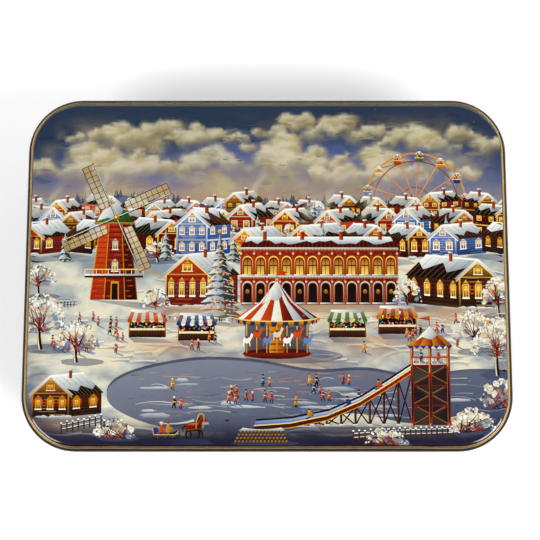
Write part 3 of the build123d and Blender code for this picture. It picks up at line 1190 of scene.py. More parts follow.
def paintPond():
    shore = smoothLoop(pondPlan["bank"], 5)
    paint([(px, py + 0.9) for px, py in shore], "snowDeep", "blueDark", -90, 0.9)
    paint(shore, mix("ice", "peach", 0.12), mix("snowDeep", "blueDark", 0.35), -80)
    for i in range(pondPlan["reflections"]):
        x, y = between(-42, 58), between(-45, -31)
        lit = min(abs(x - middle) - half for middle, half in pondPlan["mirrored"]) < (y + 42) * 0.4
        tone = hand.choice(pondPlan["warm" if lit else "cold"])
        run = between(1.5, 5)
        line = bow(x, y, x + run, y + between(-0.2, 0.2), between(-0.1, 0.1), 3)
        draw(line, (between(0.2, 0.6), 0.1), tone, alpha=between(0.2, 0.5))
    for i in range(pondPlan["skateMarks"]):
        x, y = between(-42, 70), between(-45, -32)
        run = between(3, 12)
        line = bow(x, y, x + run, y + between(-0.7, 0.7), between(-1.0, 1.0), 6)
        draw(line, (0.1, 0.24), hand.choice(["white", "snow", "snowShade"]), alpha=between(0.3, 0.7))
    for i in range(pondPlan["snowPatches"]):
        x, y = between(-40, 66), between(-45, -33)
        patch = oval(x, y, between(1.5, 6), between(0.25, 0.8), 12, 0.2)
        snow(patch, -90, between(0.4, 0.9))


slidePlan = {
    "tower": (44.0, -47.0, 11.0, 18.0),  # left, foot, width, height of the platform
    "run": [(44.5, -29.6), (37, -34.5), (28, -40.0), (18, -44.2), (7, -46.4), (-4, -47.2)],
    "thick": 1.9,
    "bays": 9,
    "boards": 34,
    "riders": [(34, "brickLit"), (24.5, "blue"), (13, "gold")],
    "watchers": [(0.25, "blue"), (0.72, "rose")],  # place along the platform, coat
    "pickets": 12,
    "postTop": 6.2,  # mm above the platform
    "roof": 6.0,  # its eave and top, from the platform
    "roofTop": 12.0,
    "gores": 7,
    "roofSnow": [(-4.4, 7.4), (-2.2, 8.6), (0.4, 7.8), (2.4, 9.2)],
}


def paintSlide():
    # the wooden ice slide: a roofed tower, and a long trestle run down to the left
    x, y, wide, tall = slidePlan["tower"]
    right, deck = x + wide, y + tall
    run = slidePlan["run"]
    thick = slidePlan["thick"]
    end = run[-1][0]

    def runHeight(px):
        xs, ys = zip(*run[::-1])
        return float(np.interp(px, xs, ys))

    def besideRun(dx, dy):
        return setOut(dx, thick * dy, 1, 1, *run)

    shadow = [(end, y - 0.6), (right, y - 0.4), (right + 9, y - 2.6), (end + 6, y - 2.4)]
    paint(shadow, "blueDark", "snowDeep", 0, 0.6)
    left = end + 9
    feet = [left + (x - left)*i/slidePlan["bays"] for i in range(slidePlan["bays"] + 1)]
    for i, px in enumerate(feet):  # the trestle under the run
        top = runHeight(px) - thick*0.5
        if i < slidePlan["bays"]:
            nextTop = runHeight(feet[i + 1]) - thick*0.5
            draw([(px, y), (feet[i + 1], nextTop)], 0.42, "timberDark")
            draw([(px, top), (feet[i + 1], y)], 0.42, "maroon")
        paint(post(px, y - 0.2, top, 0.35), "timber", "timberDark", 0)
        snow(oval(px, y, 0.9, 0.35, 8))
    paint(run + besideRun(0, -0.75)[::-1], "brick", "timberDark")
    for k in range(slidePlan["boards"]):
        px = end + (x - end)*(k + 0.5)/slidePlan["boards"]
        paint(post(px, runHeight(px) - thick*0.7, runHeight(px), 0.09), "maroon")
    back = besideRun(0.6, 0.75)
    draw(back, thick * 0.6, "timberDark")
    paint(run + back[::-1], "white", "blueLit", -100)
    draw(besideRun(0.2, 0.3), 0.2, "snowDeep", alpha=0.7)
    draw(run, 0.3, "goldLit")
    draw(besideRun(0, -0.72), 0.24, "gold")
    for px, coat in slidePlan["riders"]:
        py = runHeight(px) + 0.5
        draw([(px - 1.3, py - 0.5), (px + 1.0, py + 0.7)], 0.4, "timberDark")
        paint(oval(px, py + 1.0, 0.85, 0.95, 8, 0, 0.5), coat, mix(coat, "ink", 0.5), -30)
        paint(oval(px - 0.3, py + 2.1, 0.4, 0.42, 8), "skin")
        paint(oval(px - 0.25, py + 2.4, 0.48, 0.3, 8), "maroon")
    for level in range(3):  # the tower and its braces
        low, high = y + tall*level/3, y + tall*(level + 1)/3
        paint(box(x, low, right, high), "timberDark", "ink", 90, 0.95)
        for ends in ([(x, low), (right, high)], [(x, high), (right, low)]):
            draw(ends, 0.7, "timber", "brickDark")
            draw(setOut(0, 0.25, 1, 1, *ends), 0.12, "ochre", alpha=0.8)
        paint(box(x - 0.5, high - 0.5, right + 0.5, high + 0.25), "brick", "maroon")
        snow(box(x - 0.5, high + 0.2, right + 0.5, high + 0.5), 0)
    top = deck + slidePlan["postTop"]
    for px in (x, x + wide/2, right):
        paint(post(px, y - 0.3, top, 0.5), "brickLit", "brickDark", 0)
        paint(box(px - 0.28, y - 0.3, px - 0.1, top), "goldLit", alpha=0.7)
    for k in range(slidePlan["pickets"]):
        px = x + wide*(k + 0.5)/slidePlan["pickets"]
        paint(post(px, deck + 0.4, deck + 2.4, 0.16), "gold" if k % 2 else "cream")
    paint(box(x - 0.4, deck + 2.2, right + 0.4, deck + 2.7), "brickLit", "brick")
    for share, coat in slidePlan["watchers"]:
        paintPerson(x + wide*share, deck + 1.2, 3.6, coat)
    eave = deck + slidePlan["roof"]
    apexX, apexY = x + wide/2, deck + slidePlan["roofTop"]
    gores = slidePlan["gores"]
    for k in range(gores):
        a, b = x - 1.4 + (wide + 2.8)*k/gores, x - 1.4 + (wide + 2.8)*(k + 1)/gores
        colours = ("brickLit", "brickDark") if k % 2 else ("gold", "goldDark")
        paint([(a, eave), (b, eave), (apexX, apexY)], *colours, 0)
        paint([(a, eave), (b, eave), ((a + b) / 2, eave - 1.1)], "blue", "blueDark")
    snow(setOut(apexX, deck, 1, 1, *slidePlan["roofSnow"]) + [(apexX, apexY)], -30)
    draw([(apexX, apexY), (apexX, apexY + 3)], 0.28, "goldDark")
    paint(setOut(apexX, apexY, 1, 1, (0, 3), (-3.4, 2.3), (0, 1.5)), "brickLit", "brick", 180)


wheelPlan = {
    "hub": (46.0, 21.5),
    "radius": 15.5,
    "rings": [(1.0, 0.5, "gold"), (0.84, 0.3, "brick"), (0.3, 0.26, "goldDark")],  # radius (share), width
    "seats": 14,
    "seatSize": 2.4,
    "seatColours": ["brickLit", "blue", "gold", "leaf", "rose", "cream", "blueLit"],
    "boat": [(-0.55, -0.55), (0.55, -0.55), (0.38, -1.1), (-0.38, -1.1)],
    "foot": 8.0,
    "legs": 6.6,  # how far they stand out
}


def paintWheel():
    # the big wheel of the fair, with a striped awning over every seat
    hubX, hubY = wheelPlan["hub"]
    radius, foot, legs = wheelPlan["radius"], wheelPlan["foot"], wheelPlan["legs"]

    def onWheel(way, share, drop=0.0):
        return hubX + way[0]*radius*share, hubY + way[1]*radius*share + drop

    paint(oval(hubX + 3, foot, 11, 1.0, 14), "snowDeep", alpha=0.55)
    for lean in (-1, 1):
        draw([(hubX + lean*6.4 + 1.2, foot + 0.9), (hubX + 0.8, hubY + 0.3)], 0.5, "maroon")
    for ring, thick, colour in wheelPlan["rings"]:
        circle = oval(hubX, hubY, radius * ring, radius * ring, 56)
        draw(circle + circle[:1], thick, colour)
    arms = []
    for seat in range(wheelPlan["seats"]):
        a = 2 * pi * (seat + 0.3) / wheelPlan["seats"]
        arms.append((cos(a), sin(a)))
    for arm, nextArm in zip(arms, arms[1:] + arms[:1]):
        draw([(hubX, hubY), onWheel(arm, 1)], (0.3, 0.22), "brickLit")
        draw([onWheel(arm, 0.84), onWheel(nextArm, 1)], 0.16, "goldDark")
        draw([onWheel(arm, 1.2 / radius, 0.1), onWheel(arm, 1, 0.1)], 0.09, "goldLit")
    for lean in (-1, 1):
        draw([(hubX + lean*legs, foot), (hubX, hubY)], (0.8, 0.6), "brickLit", "brickDark")
        lit = [(hubX + lean*legs - 0.2, foot + 0.2), (hubX - 0.2, hubY)]
        draw(lit, 0.16, "snowCream", alpha=0.8)
    for height, thick, colour in ((6.0, 0.5, "brick"), (6.35, 0.22, "white")):
        draw([(hubX - 4.2, foot + height), (hubX + 4.2, foot + height)], thick, colour)
    paint(oval(hubX, hubY, 1.3, 1.3, 16), "goldLit", "goldDark")
    paint(oval(hubX, hubY, 0.6, 0.6, 10), "brick")
    size = wheelPlan["seatSize"]
    for i, arm in enumerate(arms):
        x, y = onWheel(arm, 1)
        body = wheelPlan["seatColours"][i % 7]
        paint(post(x, y - size*0.8, y + size*0.1, size * 0.06), "ink")
        paint(setOut(x, y, size, size, *wheelPlan["boat"]), body, mix(body, "ink", 0.5))
        paint(post(x, y - size*0.62, y - size*0.5, size * 0.6), "goldLit")
        for px in (-0.25, 0.2):  # riders
            coat = oval(x + px*size, y - size*0.42, size * 0.13, size * 0.15, 6)
            paint(coat, hand.choice(["brick", "gold", "blueDark"]))
            paint(oval(x + px*size, y - size*0.24, size * 0.09, size * 0.1, 6), "skin")
        for k in range(5):
            s0, s1 = -0.6 + 0.24*k, -0.6 + 0.24*(k + 1)
            flap = setOut(x, y, size, size, (s0, -0.12), (s1, -0.12), (s1 * 0.3, 0.22), (s0 * 0.3, 0.22))
            paint(flap, body if k % 2 else "cream")
        draw(setOut(x, y, size, size, (-0.2, 0.2), (0.2, 0.22)), size * 0.12, "white")


def paintBunting(ax, ay, bx, by, sag, flags):
    # little pennants on a slack line
    line = bow(ax, ay, bx, by, -sag, flags)
    draw(line, 0.1, "ink", alpha=0.9)
    for i, (x, y) in enumerate(line[1:-1]):
        flag = setOut(x, y, 1, 1, (-0.4, 0), (0.4, 0), (0.05, -1.1))
        paint(flag, ["brickLit", "goldLit", "blue", "leaf", "white"][i % 5])


def paintWoodpile(x, y, width, rows, size=1.1):
    paint(oval(x + width/2 + 1, y, width * 0.62, 0.8, 12), "snowDeep", alpha=0.6)
    for row in range(rows):
        for i in range(int(width / size) - row):
            px = x + (i + 0.5 + row*0.5)*size
            py = y + (row + 0.5)*size*0.9
            paint(oval(px, py, size * 0.5, size * 0.48, 8), "timber", "timberDark", -60)
            paint(oval(px, py, size * 0.34, size * 0.32, 7), "ochre", "timber", -60)
            paint(oval(px, py, size * 0.12, size * 0.12, 5), "timberDark")
    top = y + rows*size*0.9
    left, right = x + rows*size*0.4, x + width - rows*size*0.4
    crown = bow(left + 1, top + 0.7, right - 1, top + 0.7, -0.5, 6)
    load = [(left - 0.3, top - 0.2), (left + 1, top + 0.7)] + crown + [(right + 0.3, top - 0.2)]
    snow(load)


# the picture, from the sky down to the foreground

log, bricks = paintLogs, paintBricks
redLogs = ("brick", "brickDark", "brickLit")
goldLogs = ("gold", "goldDark", "goldLit")
brownLogs = ("timber", "timberDark", "ochre")
blueBoards = ("blueLit", "blue", "cream")
whiteWalls = ("cream", "snowShade", "white")
roseBricks = ("brickLit", "brick", "rose")
deepBricks = ("brickDark", "maroon", "brick")

townPlan = {
    "styles": [  # walls, colours, roof, trim, shutters
        (log, redLogs, "maroon", "goldLit", "blue"),
        (bricks, roseBricks, "timberDark", "cream", None),
        (log, brownLogs, "brickDark", "gold", None),
        (bricks, deepBricks, "leafDark", "goldLit", None),
        (log, goldLogs, "maroon", "white", "leafDark"),
        (log, redLogs, "leafDark", "cream", None),
        (bricks, whiteWalls, "brickDark", "brickLit", None),
        (log, blueBoards, "brickDark", "white", None),
        (bricks, roseBricks, "maroon", "goldLit", "leafDark"),
    ],
    "rows": [  # foot, width and height of a house, trees before the row, whether the houses are small
        (16.0, 4.8, 3.8, 12, True),
        (10.8, 6.2, 5.0, 10, True),
        (4.4, 7.8, 6.4, 9, False),
    ],
}


def paintTown():
    # rows of houses up the hill, the far ones first
    styles = townPlan["styles"]
    for y, wide, tall, trees, small in townPlan["rows"]:
        x = -80 + between(0, 4)
        turn = hand.randrange(len(styles))
        while x < 76:
            width, height = wide * between(0.85, 1.2), tall * between(0.85, 1.15)
            depth = wide * between(0.9, 1.5)
            floors = hand.choice((1, 1, 2))
            foot = y + between(-0.9, 0.9)
            style = styles[turn % len(styles)]
            turn += hand.choice((1, 2, 4))
            left, run = (x, depth) if hand.random() < 0.5 else (x + depth, -depth)
            paintHouse(left, foot, width, height * (0.6 + 0.4*floors), run, style, floors, small)
            x += width + depth*between(0.7, 1.05)
        for i in range(trees):
            px, py = between(-74, 74), y - between(0.8, 2.2)
            if hand.random() < 0.55:
                paintSpruce(px, py, tall * between(1.0, 1.7), tall * 0.6)
            else:
                across, high = tall * between(0.9, 1.6), tall * between(0.6, 0.9)
                paintFrosted(px, py, across, high, tall * 0.2)


fairPlan = {
    "stalls": [  # left, foot, width, height, colours of the awning
        (-42, -20.5, 11, 8.0, "brickLit", "cream"),
        (-27, -21.5, 11, 8.0, "blue", "white"),
        (19, -20.5, 11, 8.0, "leaf", "cream"),
        (34, -19.5, 11.5, 8.2, "gold", "brick"),
    ],
    "tent": (3, -26, 23, 23),  # middle, foot, width, height
    "clearance": 2.0,  # walkers keep this far from the sides of a stall
    "tentStep": 2.0,  # and this far below the foot of the tent
}


def paintCrowd(count, area, tall):
    # walkers alone and in pairs, the far ones first, none behind a stall
    x0, y0, x1, y1 = area
    middle, foot, wide = fairPlan["tent"][:3]
    taken = [(left, left + across, low) for left, low, across, *rest in fairPlan["stalls"]]
    taken.append((middle - wide/2, middle + wide/2, foot - fairPlan["tentStep"]))
    clear = fairPlan["clearance"]
    for y in sorted((between(y0, y1) for i in range(count)), reverse=True):
        x = between(x0, x1)
        if any(left - clear < x < right + clear and y > low for left, right, low in taken):
            continue
        size = tall*between(0.92, 1.08) + 0.04*(y1 - y)
        paintPerson(x, y, size, stride=between(-0.4, 1.0))
        if hand.random() < 0.5:
            beside = size * between(0.8, 1.0)
            paintPerson(x + size*0.55, y - 0.15, beside, stride=between(-0.3, 0.5))


frostedPlan = {  # middle, foot, width, height and length of trunk of the trees
    "behindMill": [(-70, -8, 11, 7, 3)],
    "byArcade": [(-34, -13, 9, 6, 1.5), (43, -12, 9, 7, 2), (71, -14, 12, 9, 3)],
    "byPond": [(-69, -24, 16, 12, 5), (-58, -28, 13, 9, 3.5), (63, -25, 13, 10, 3), (70, -32, 16, 13, 5)],
    "atFoot": [(-46, -51, 12, 6), (71, -42, 13, 9), (62, -49, 14, 7), (36, -53, 13, 5)],  # bushes
}


def paintTrees(where):
    for tree in frostedPlan[where]:
        paintFrosted(*tree)


def paintPicture():
    paintSky()
    paintClouds()
    paintRooks(13)
    paintHills()
    paintSnowField()
    brushOver(220, (-76, -54, 72, 2), snowTones, (3, 12), (0.4, 1.5), (0.2, 0.5))
    paintWheel()
    paintTown()
    paintDrifts(60, -24, 1)
    knoll = [(-78, -16)] + bow(-78, -9.0, -20, -12.5, -4.0, 14) + [(-20, -16)]
    paint(knoll, "snow", "snowShade", -80, 0.9)
    paintTrees("behindMill")
    paintWindmill()
    paintFence([(-76, -12), (-58, -11)], 2.0)
    paintArcade()
    paintHouse(-31, -11, 13, 10.0, 9, (log, redLogs, "maroon", "goldLit", "blue"))
    paintHouse(59, -11.5, 11.5, 9.6, -16, (log, brownLogs, "maroon", "goldLit", "brickLit"))
    paintTrees("byArcade")
    paintFairTree(-14.5, -16, 28)
    paintDrifts(50, -30, -14)
    paintLampPools()
    for stall in fairPlan["stalls"]:
        paintStall(*stall)
    paintTent(*fairPlan["tent"])
    paintBunting(-36, -12.6, -9, -14.5, 1.4, 17)
    paintBunting(14, -14.5, 44, -11.5, 1.6, 17)
    paintCrowd(58, (-66, -26, 62, -15), 2.9)
    paintPond()
    paintCrowd(14, (-38, -43, 56, -34.5), 3.5)
    paintTrees("byPond")
    paintHouse(-71, -44.5, 11, 7.2, 10, (log, brownLogs, "maroon", "gold", "brickLit"))
    paintDrifts(16, -51, -46)
    paintFootShade()
    paintSlide()
    paintSledge(-27, -51, 1.15)
    paintFence([(-62, -49.5), (-50, -47.0), (-47, -51.5)], 3.2)
    paintFence([(26, -52.0), (40, -51.0), (56, -50.5), (66, -47.5)], 3.2)
    paintWoodpile(-10, -52.4, 17, 4)
    paintTrees("atFoot")


paintPicture()
print("picture sketched:", len(layers), "strokes and washes")


# the film of paint: what shows of every stroke's outline becomes edges of one fine sheet,
# and the sheet is coloured corner by corner

filmForm = {
    "inset": 2.05,  # mm in from the lid's outline, where the picture meets the gold line
    "edgeSpacing": 0.7,
    "rimRows": (0.2, 0.4, 0.6, 0.85, 1.15, 1.5),  # rows of points along the edge, where the lid rounds over
    "rowSpacing": 0.84,
    "rowClear": 0.1375,
    "rowMargin": 0.3,
    "lattice": 1.0,  # spacing of the points that carry the soft washes
    "rimLattice": 4.0,  # and all over, this near the edge, where the lid bends
    "clear": 0.55,  # no lattice point stands this near the corner of a stroke
    "cell": 0.1,  # of the map of what covers what
    "markStep": 1.2,  # cells from one mark on an outline to the next
    "overrun": 1.0,  # outlines count this far past the edge of the picture
    "solid": 0.9,  # a stroke with this much paint hides what is under it
    "merge": 0.02,  # points nearer than this become one
    "sliver": 0.001,  # thinner triangles along the edge are dropped
    "lift": 0.035,  # mm proud of the lid
    "sink": 0.02,  # mm that its underside lies in it
    "underLattice": 8.0,
    "underMargin": 1.0,
    "underMerge": 1e-5,
    "mapStrip": 0.05,  # share of the flat map that is kept for the underside
    "mapUnder": 0.03,
}


def insideOutline(outline, points):
    # winding number, so that a line that crosses itself stays filled
    winding = np.zeros(len(points), int)
    ax, ay = outline[-1]
    for bx, by in outline:
        left = (bx - ax)*(points[:, 1] - ay) - (points[:, 0] - ax)*(by - ay)
        winding += (ay <= points[:, 1]) & (points[:, 1] < by) & (left > 0)
        winding -= (by <= points[:, 1]) & (points[:, 1] < ay) & (left < 0)
        ax, ay = bx, by
    return winding != 0


def cellsOf(points, grid, size):
    # the cell of a grid over the lid that each point lies in
    cells = np.floor((points + (halfLength, halfDepth)) / size).astype(int)
    return np.clip(cells[..., 0], 0, grid.shape[0] - 1), np.clip(cells[..., 1], 0, grid.shape[1] - 1)


def coverMap():
    # the number of the last solid stroke that covers each cell of a fine grid
    cell = filmForm["cell"]
    grid = np.full((round(2 * halfLength / cell), round(2 * halfDepth / cell)), -1)
    middlesX = (np.arange(grid.shape[0]) + 0.5)*cell - halfLength
    middlesY = (np.arange(grid.shape[1]) + 0.5)*cell - halfDepth
    for number, layer in enumerate(layers):
        if "field" in layer or layer["alpha"] < filmForm["solid"]:
            continue
        outline = np.array(layer["points"])
        x0, x1 = np.searchsorted(middlesX, [outline[:, 0].min(), outline[:, 0].max()])
        y0, y1 = np.searchsorted(middlesY, [outline[:, 1].min(), outline[:, 1].max()])
        x, y = np.meshgrid(middlesX[x0:x1], middlesY[y0:y1], indexing="ij")
        inside = insideOutline(outline, np.stack([x.ravel(), y.ravel()], axis=1)).reshape(x.shape)
        grid[x0:x1, y0:y1][inside] = number
    return grid


def shownEdges(grid):
    # the stretches of the strokes' outlines that no later stroke hides, as pairs of points
    starts, ends, numbers = [], [], []
    for number, layer in enumerate(layers):
        if "points" in layer:
            starts += layer["points"]
            ends += layer["points"][1:] + layer["points"][:1]
            numbers += [number] * len(layer["points"])
    starts, numbers = np.array(starts), np.array(numbers)
    span = np.array(ends) - starts
    cell = filmForm["cell"]
    steps = np.maximum(1, np.ceil(np.hypot(*span.T) / (filmForm["markStep"] * cell))).astype(int)
    edge = np.repeat(np.arange(len(steps)), steps)
    step = np.arange(len(edge)) - np.repeat(np.cumsum(steps) - steps, steps)

    def along(pick, ahead):
        share = (step[pick] + ahead) / steps[edge[pick]]
        return starts[edge[pick]] + span[edge[pick]]*share[:, None]

    middles = along(slice(None), 0.5)
    shown = grid[cellsOf(middles, grid, cell)] <= numbers[edge]
    shown &= insetOf(*middles.T) > filmForm["inset"] - filmForm["overrun"]
    same = edge[1:] == edge[:-1]
    grown = shown.copy()
    grown[1:] |= shown[:-1] & same
    grown[:-1] |= shown[1:] & same
    opens = grown & ~np.append(False, grown[:-1] & same)
    closes = grown & ~np.append(grown[1:] & same, False)
    return np.stack([along(opens, 0), along(closes, 1)], axis=1)


def latticePoints(spacing, inset):
    # staggered rows of points over the picture
    points = []
    rowStep = spacing * sqrt(3) / 2
    for row in range(int(2 * halfDepth / rowStep) + 1):
        for column in range(int(2 * halfLength / spacing) + 1):
            points.append(((column + 0.5*(row % 2))*spacing - halfLength, row*rowStep - halfDepth))
    points = np.array(points)
    return points[insetOf(*points.T) > inset]


def awayFrom(points, others, distance):
    # the points whose cell of a grid of that size holds none of the others
    taken = np.zeros((int(2 * halfLength / distance) + 2, int(2 * halfDepth / distance) + 2), bool)
    taken[cellsOf(others, taken, distance)] = True
    return points[~taken[cellsOf(points, taken, distance)]]


def ringOf(count):
    return [(i, (i + 1) % count) for i in range(count)]


def flattenStrokes():
    # the sheet's points and triangles, with what shows of the outlines among its edges
    inset, rimRows = filmForm["inset"], filmForm["rimRows"]
    rim = outlineLoop(inset, filmForm["edgeSpacing"])
    grid = coverMap()
    pairs = shownEdges(grid).reshape(-1, 2)
    lattice = latticePoints(filmForm["lattice"], inset + rimRows[-1] + filmForm["rowMargin"])
    needed = grid[cellsOf(lattice, grid, filmForm["cell"])] < 0
    needed |= insetOf(*lattice.T) < filmForm["rimLattice"]
    lattice = awayFrom(lattice[needed], pairs, filmForm["clear"])
    rows = np.concatenate([outlineLoop(inset + step, filmForm["rowSpacing"]) for step in rimRows])
    rows = awayFrom(rows, pairs, filmForm["rowClear"])
    corners = [Vector(point) for point in rim + pairs.tolist() + rows.tolist() + lattice.tolist()]
    edges = ringOf(len(rim)) + [(i, i + 1) for i in range(len(rim), len(rim) + len(pairs), 2)]
    sheet = delaunay_2d_cdt(corners, edges, [], 0, filmForm["merge"], False)
    places = np.array([(point.x, point.y) for point in sheet[0]])
    triangles = np.array(sheet[2])
    middles = places[triangles].mean(axis=1)
    triangles = triangles[insetOf(*middles.T) > inset + filmForm["sliver"]]
    used, triangles = np.unique(triangles, return_inverse=True)
    return places[used], triangles.reshape(-1, 3)


def strokeTone(stroke, points):
    if stroke["fade"] is None:
        return stroke["colour"]
    way = np.array([cos(stroke["angle"]), sin(stroke["angle"])])
    span = np.array(stroke["points"]) @ way
    t = np.clip((points @ way - span.min()) / (np.ptp(span) + 1e-6), 0, 1)
    return stroke["colour"] + t[..., None]*(stroke["fade"] - stroke["colour"])


def colourSheet(places, triangles):
    # lays every stroke and wash in order, and gives the colour at each triangle's corners
    corners = places[triangles]
    middles = corners.mean(axis=1)
    order = np.argsort(middles[:, 0])
    sortedX = middles[order, 0]
    colours = np.zeros((len(triangles), 3, 3))
    for layer in layers:
        if "field" in layer:
            tone, cover = layer["field"](places[:, 0], places[:, 1])
            colours += (tone[triangles] - colours) * cover[triangles][..., None]
            continue
        outline = np.array(layer["points"])
        low, high = outline.min(axis=0), outline.max(axis=0)
        pick = order[np.searchsorted(sortedX, low[0]):np.searchsorted(sortedX, high[0])]
        pick = pick[(middles[pick, 1] > low[1]) & (middles[pick, 1] < high[1])]
        pick = pick[insideOutline(outline, middles[pick])]
        colours[pick] += (strokeTone(layer, corners[pick]) - colours[pick]) * layer["alpha"]
    return colours


def addPiece(name, points, faces, normals=None):
    mesh = bpy.data.meshes.new(name)
    mesh.from_pydata((np.asarray(points) * mm).tolist(), [], faces)
    mesh.shade_smooth()
    if normals is not None:
        mesh.normals_split_custom_set_from_vertices(normals.tolist())
    piece = bpy.data.objects.new(name, mesh)
    scene.collection.objects.link(piece)
    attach(piece, "lid")
    return piece


def rimWalk(triangles):
    # the sheet's outer edge, as points in order
    sides = np.concatenate([triangles[:, [0, 1]], triangles[:, [1, 2]], triangles[:, [2, 0]]])
    count = triangles.max() + 1
    forth, back = sides[:, 0]*count + sides[:, 1], sides[:, 1]*count + sides[:, 0]
    onward = dict(sides[~np.isin(forth, back)].tolist())
    walk = [next(iter(onward))]
    while onward[walk[-1]] != walk[0]:
        walk.append(onward[walk[-1]])
    return walk


def buildFilm():
    places, triangles = flattenStrokes()
    colours = colourSheet(places, triangles)
    print("picture flattened:", len(triangles), "triangles")
    walk = rimWalk(triangles)
    under = latticePoints(filmForm["underLattice"], filmForm["inset"] + filmForm["underMargin"])
    underPlaces = np.concatenate([places[walk], under])
    ring = ringOf(len(walk))
    underPoints = [Vector(place) for place in underPlaces.tolist()]
    underSheet = delaunay_2d_cdt(underPoints, ring, [], 1, filmForm["underMerge"], False)
    upper, upperNormals = lidPlace(*places.T, filmForm["lift"])
    lower, lowerNormals = lidPlace(*underPlaces.T, -filmForm["sink"])
    base = len(places)
    faces = triangles.tolist()
    for a, b in ring:
        faces.append((walk[b], walk[a], base + a, base + b))
    for corner in underSheet[2]:
        faces.append([base + i for i in corner[::-1]])
    normals = np.concatenate([upperNormals, -lowerNormals])
    film = addPiece("painted_picture", np.concatenate([upper, lower]), faces, normals)
    corners, painted = len(film.data.loops), triangles.size
    tint = np.ones((corners, 4), np.float32)
    tint[:, :3] = tones["ink"]
    tint[:painted, :3] = colours.reshape(-1, 3)
    film.data.attributes.new("paint", "FLOAT_COLOR", "CORNER").data.foreach_set("color", tint.ravel())
    # flat map for baking: the picture above, its underside squeezed into a strip below
    across = np.concatenate([places, underPlaces])/(2 * halfLength, 2 * halfDepth) + 0.5
    corner = np.empty(corners, np.int32)
    film.data.loops.foreach_get("vertex_index", corner)
    spread = across[corner]
    spread[:painted, 1] = filmForm["mapStrip"] + (1 - filmForm["mapStrip"])*spread[:painted, 1]
    spread[painted:, 1] *= filmForm["mapUnder"]
    film.data.uv_layers.new(name="OFBake").data.foreach_set("uv", spread.astype(np.float32).ravel())
    return film


# the gold line around the picture, drawn by hand on the rounded edge

goldForm = {
    "outer": (0.99, 1.2, 1.34),  # mm in from the lid's outline, at the front, the ends and the back
    "width": (0.73, 0.76, 0.78),
    "wander": 0.07,  # how far the hand strays
    "wanderScale": 9.0,
    "wanderSeeds": (2.5, 8.5),  # of the outer edge and of the width
    "lift": 0.06,
    "swell": 0.25,  # share of the lift that only the middle of the line has
    "sink": 0.02,
    "spacing": 0.45,
    "across": 5,
}


def buildGoldLine():
    path = np.array(outlineLoop(0, goldForm["spacing"]))
    ox, oy = outwardOf(*(path * 0.999).T)

    def strayed(name, seed):
        scale = goldForm["wanderScale"]
        stray = np.array([noise.fractal((x / scale, y / scale, seed), 0.9, 2.0, 4) for x, y in path])
        return np.interp(oy, (-1, 0, 1), goldForm[name]) + goldForm["wander"]*stray

    def rowAt(inset, lift):
        return lidPlace(path[:, 0] - ox*inset, path[:, 1] - oy*inset, lift)[0]

    outer, width = (strayed(*pair) for pair in zip(("outer", "width"), goldForm["wanderSeeds"]))
    rows = []
    for step in range(goldForm["across"]):
        share = step / (goldForm["across"] - 1)
        bead = 1 - goldForm["swell"] + goldForm["swell"]*sin(pi * share)
        rows.append(rowAt(outer + width*share, goldForm["lift"] * bead))
    rows += [rowAt(inset, -goldForm["sink"]) for inset in (outer + width, outer)]
    faces = []
    count = len(path)
    for row, nextRow in ringOf(len(rows)):
        for i, j in ringOf(count):
            faces.append((row*count + i, row*count + j, nextRow*count + j, nextRow*count + i))
    return addPiece("gold_line", np.concatenate(rows), faces)


film = buildFilm()
goldLine = buildGoldLine()
print("paint laid on the lid")


# finishes: helpers first, then effects that several finishes share


def feed(tree, socket, value):
    # a link to another node's output, or a plain value on the socket
    if isinstance(value, bpy.types.NodeSocket):
        tree.links.new(value, socket)
    elif socket.type == "RGBA":
        socket.default_value = (*value, 1)
    else:
        socket.default_value = value


def put(tree, kind, feeds=None, **settings):
    # a new node; feeds go on its sockets, by name or number
    node = tree.nodes.new(kind)
    for key, value in settings.items():
        setattr(node, key, value)
    for socket, value in (feeds or {}).items():
        feed(tree, node.inputs[socket], value)
    return node


def place(tree, space="Object"):
    return put(tree, "ShaderNodeTexCoord").outputs[space]


def axesOf(tree, vector):
    return put(tree, "ShaderNodeSeparateXYZ", {0: vector}).outputs


def sums(tree, operation, *values):
    return put(tree, "ShaderNodeMath", dict(enumerate(values)), operation=operation).outputs[0]


def ramp(tree, value, low, high, fromValue=0.0, toValue=1.0):
    # smooth change of a value between low and high
    feeds = {"Value": value, "From Min": low, "From Max": high, "To Min": fromValue, "To Max": toValue}
    return put(tree, "ShaderNodeMapRange", feeds, interpolation_type="SMOOTHSTEP").outputs["Result"]


def speckle(tree, where, scale, detail=3.0, rough=0.5, stretch=None):
    # noise; the forms below give its values in this order
    if stretch:
        where = put(tree, "ShaderNodeMapping", {"Vector": where, "Scale": stretch}).outputs["Vector"]
    feeds = {"Vector": where, "Scale": scale, "Detail": detail, "Roughness": rough}
    return put(tree, "ShaderNodeTexNoise", feeds).outputs["Fac"]


def mixColours(tree, share, first, second, blend="MIX"):
    feeds = {0: share, 6: first, 7: second}
    return put(tree, "ShaderNodeMix", feeds, data_type="RGBA", blend_type=blend).outputs[2]


def startGroup(name, inputs, outputs):
    group = bpy.data.node_groups.new(name, "ShaderNodeTree")
    for label, value in inputs.items():
        socket = group.interface.new_socket(name=label, in_out="INPUT", socket_type="NodeSocketFloat")
        socket.default_value = value
    for label in outputs:
        group.interface.new_socket(name=label, in_out="OUTPUT", socket_type="NodeSocketFloat")
    return group, put(group, "NodeGroupInput").outputs, put(group, "NodeGroupOutput").inputs


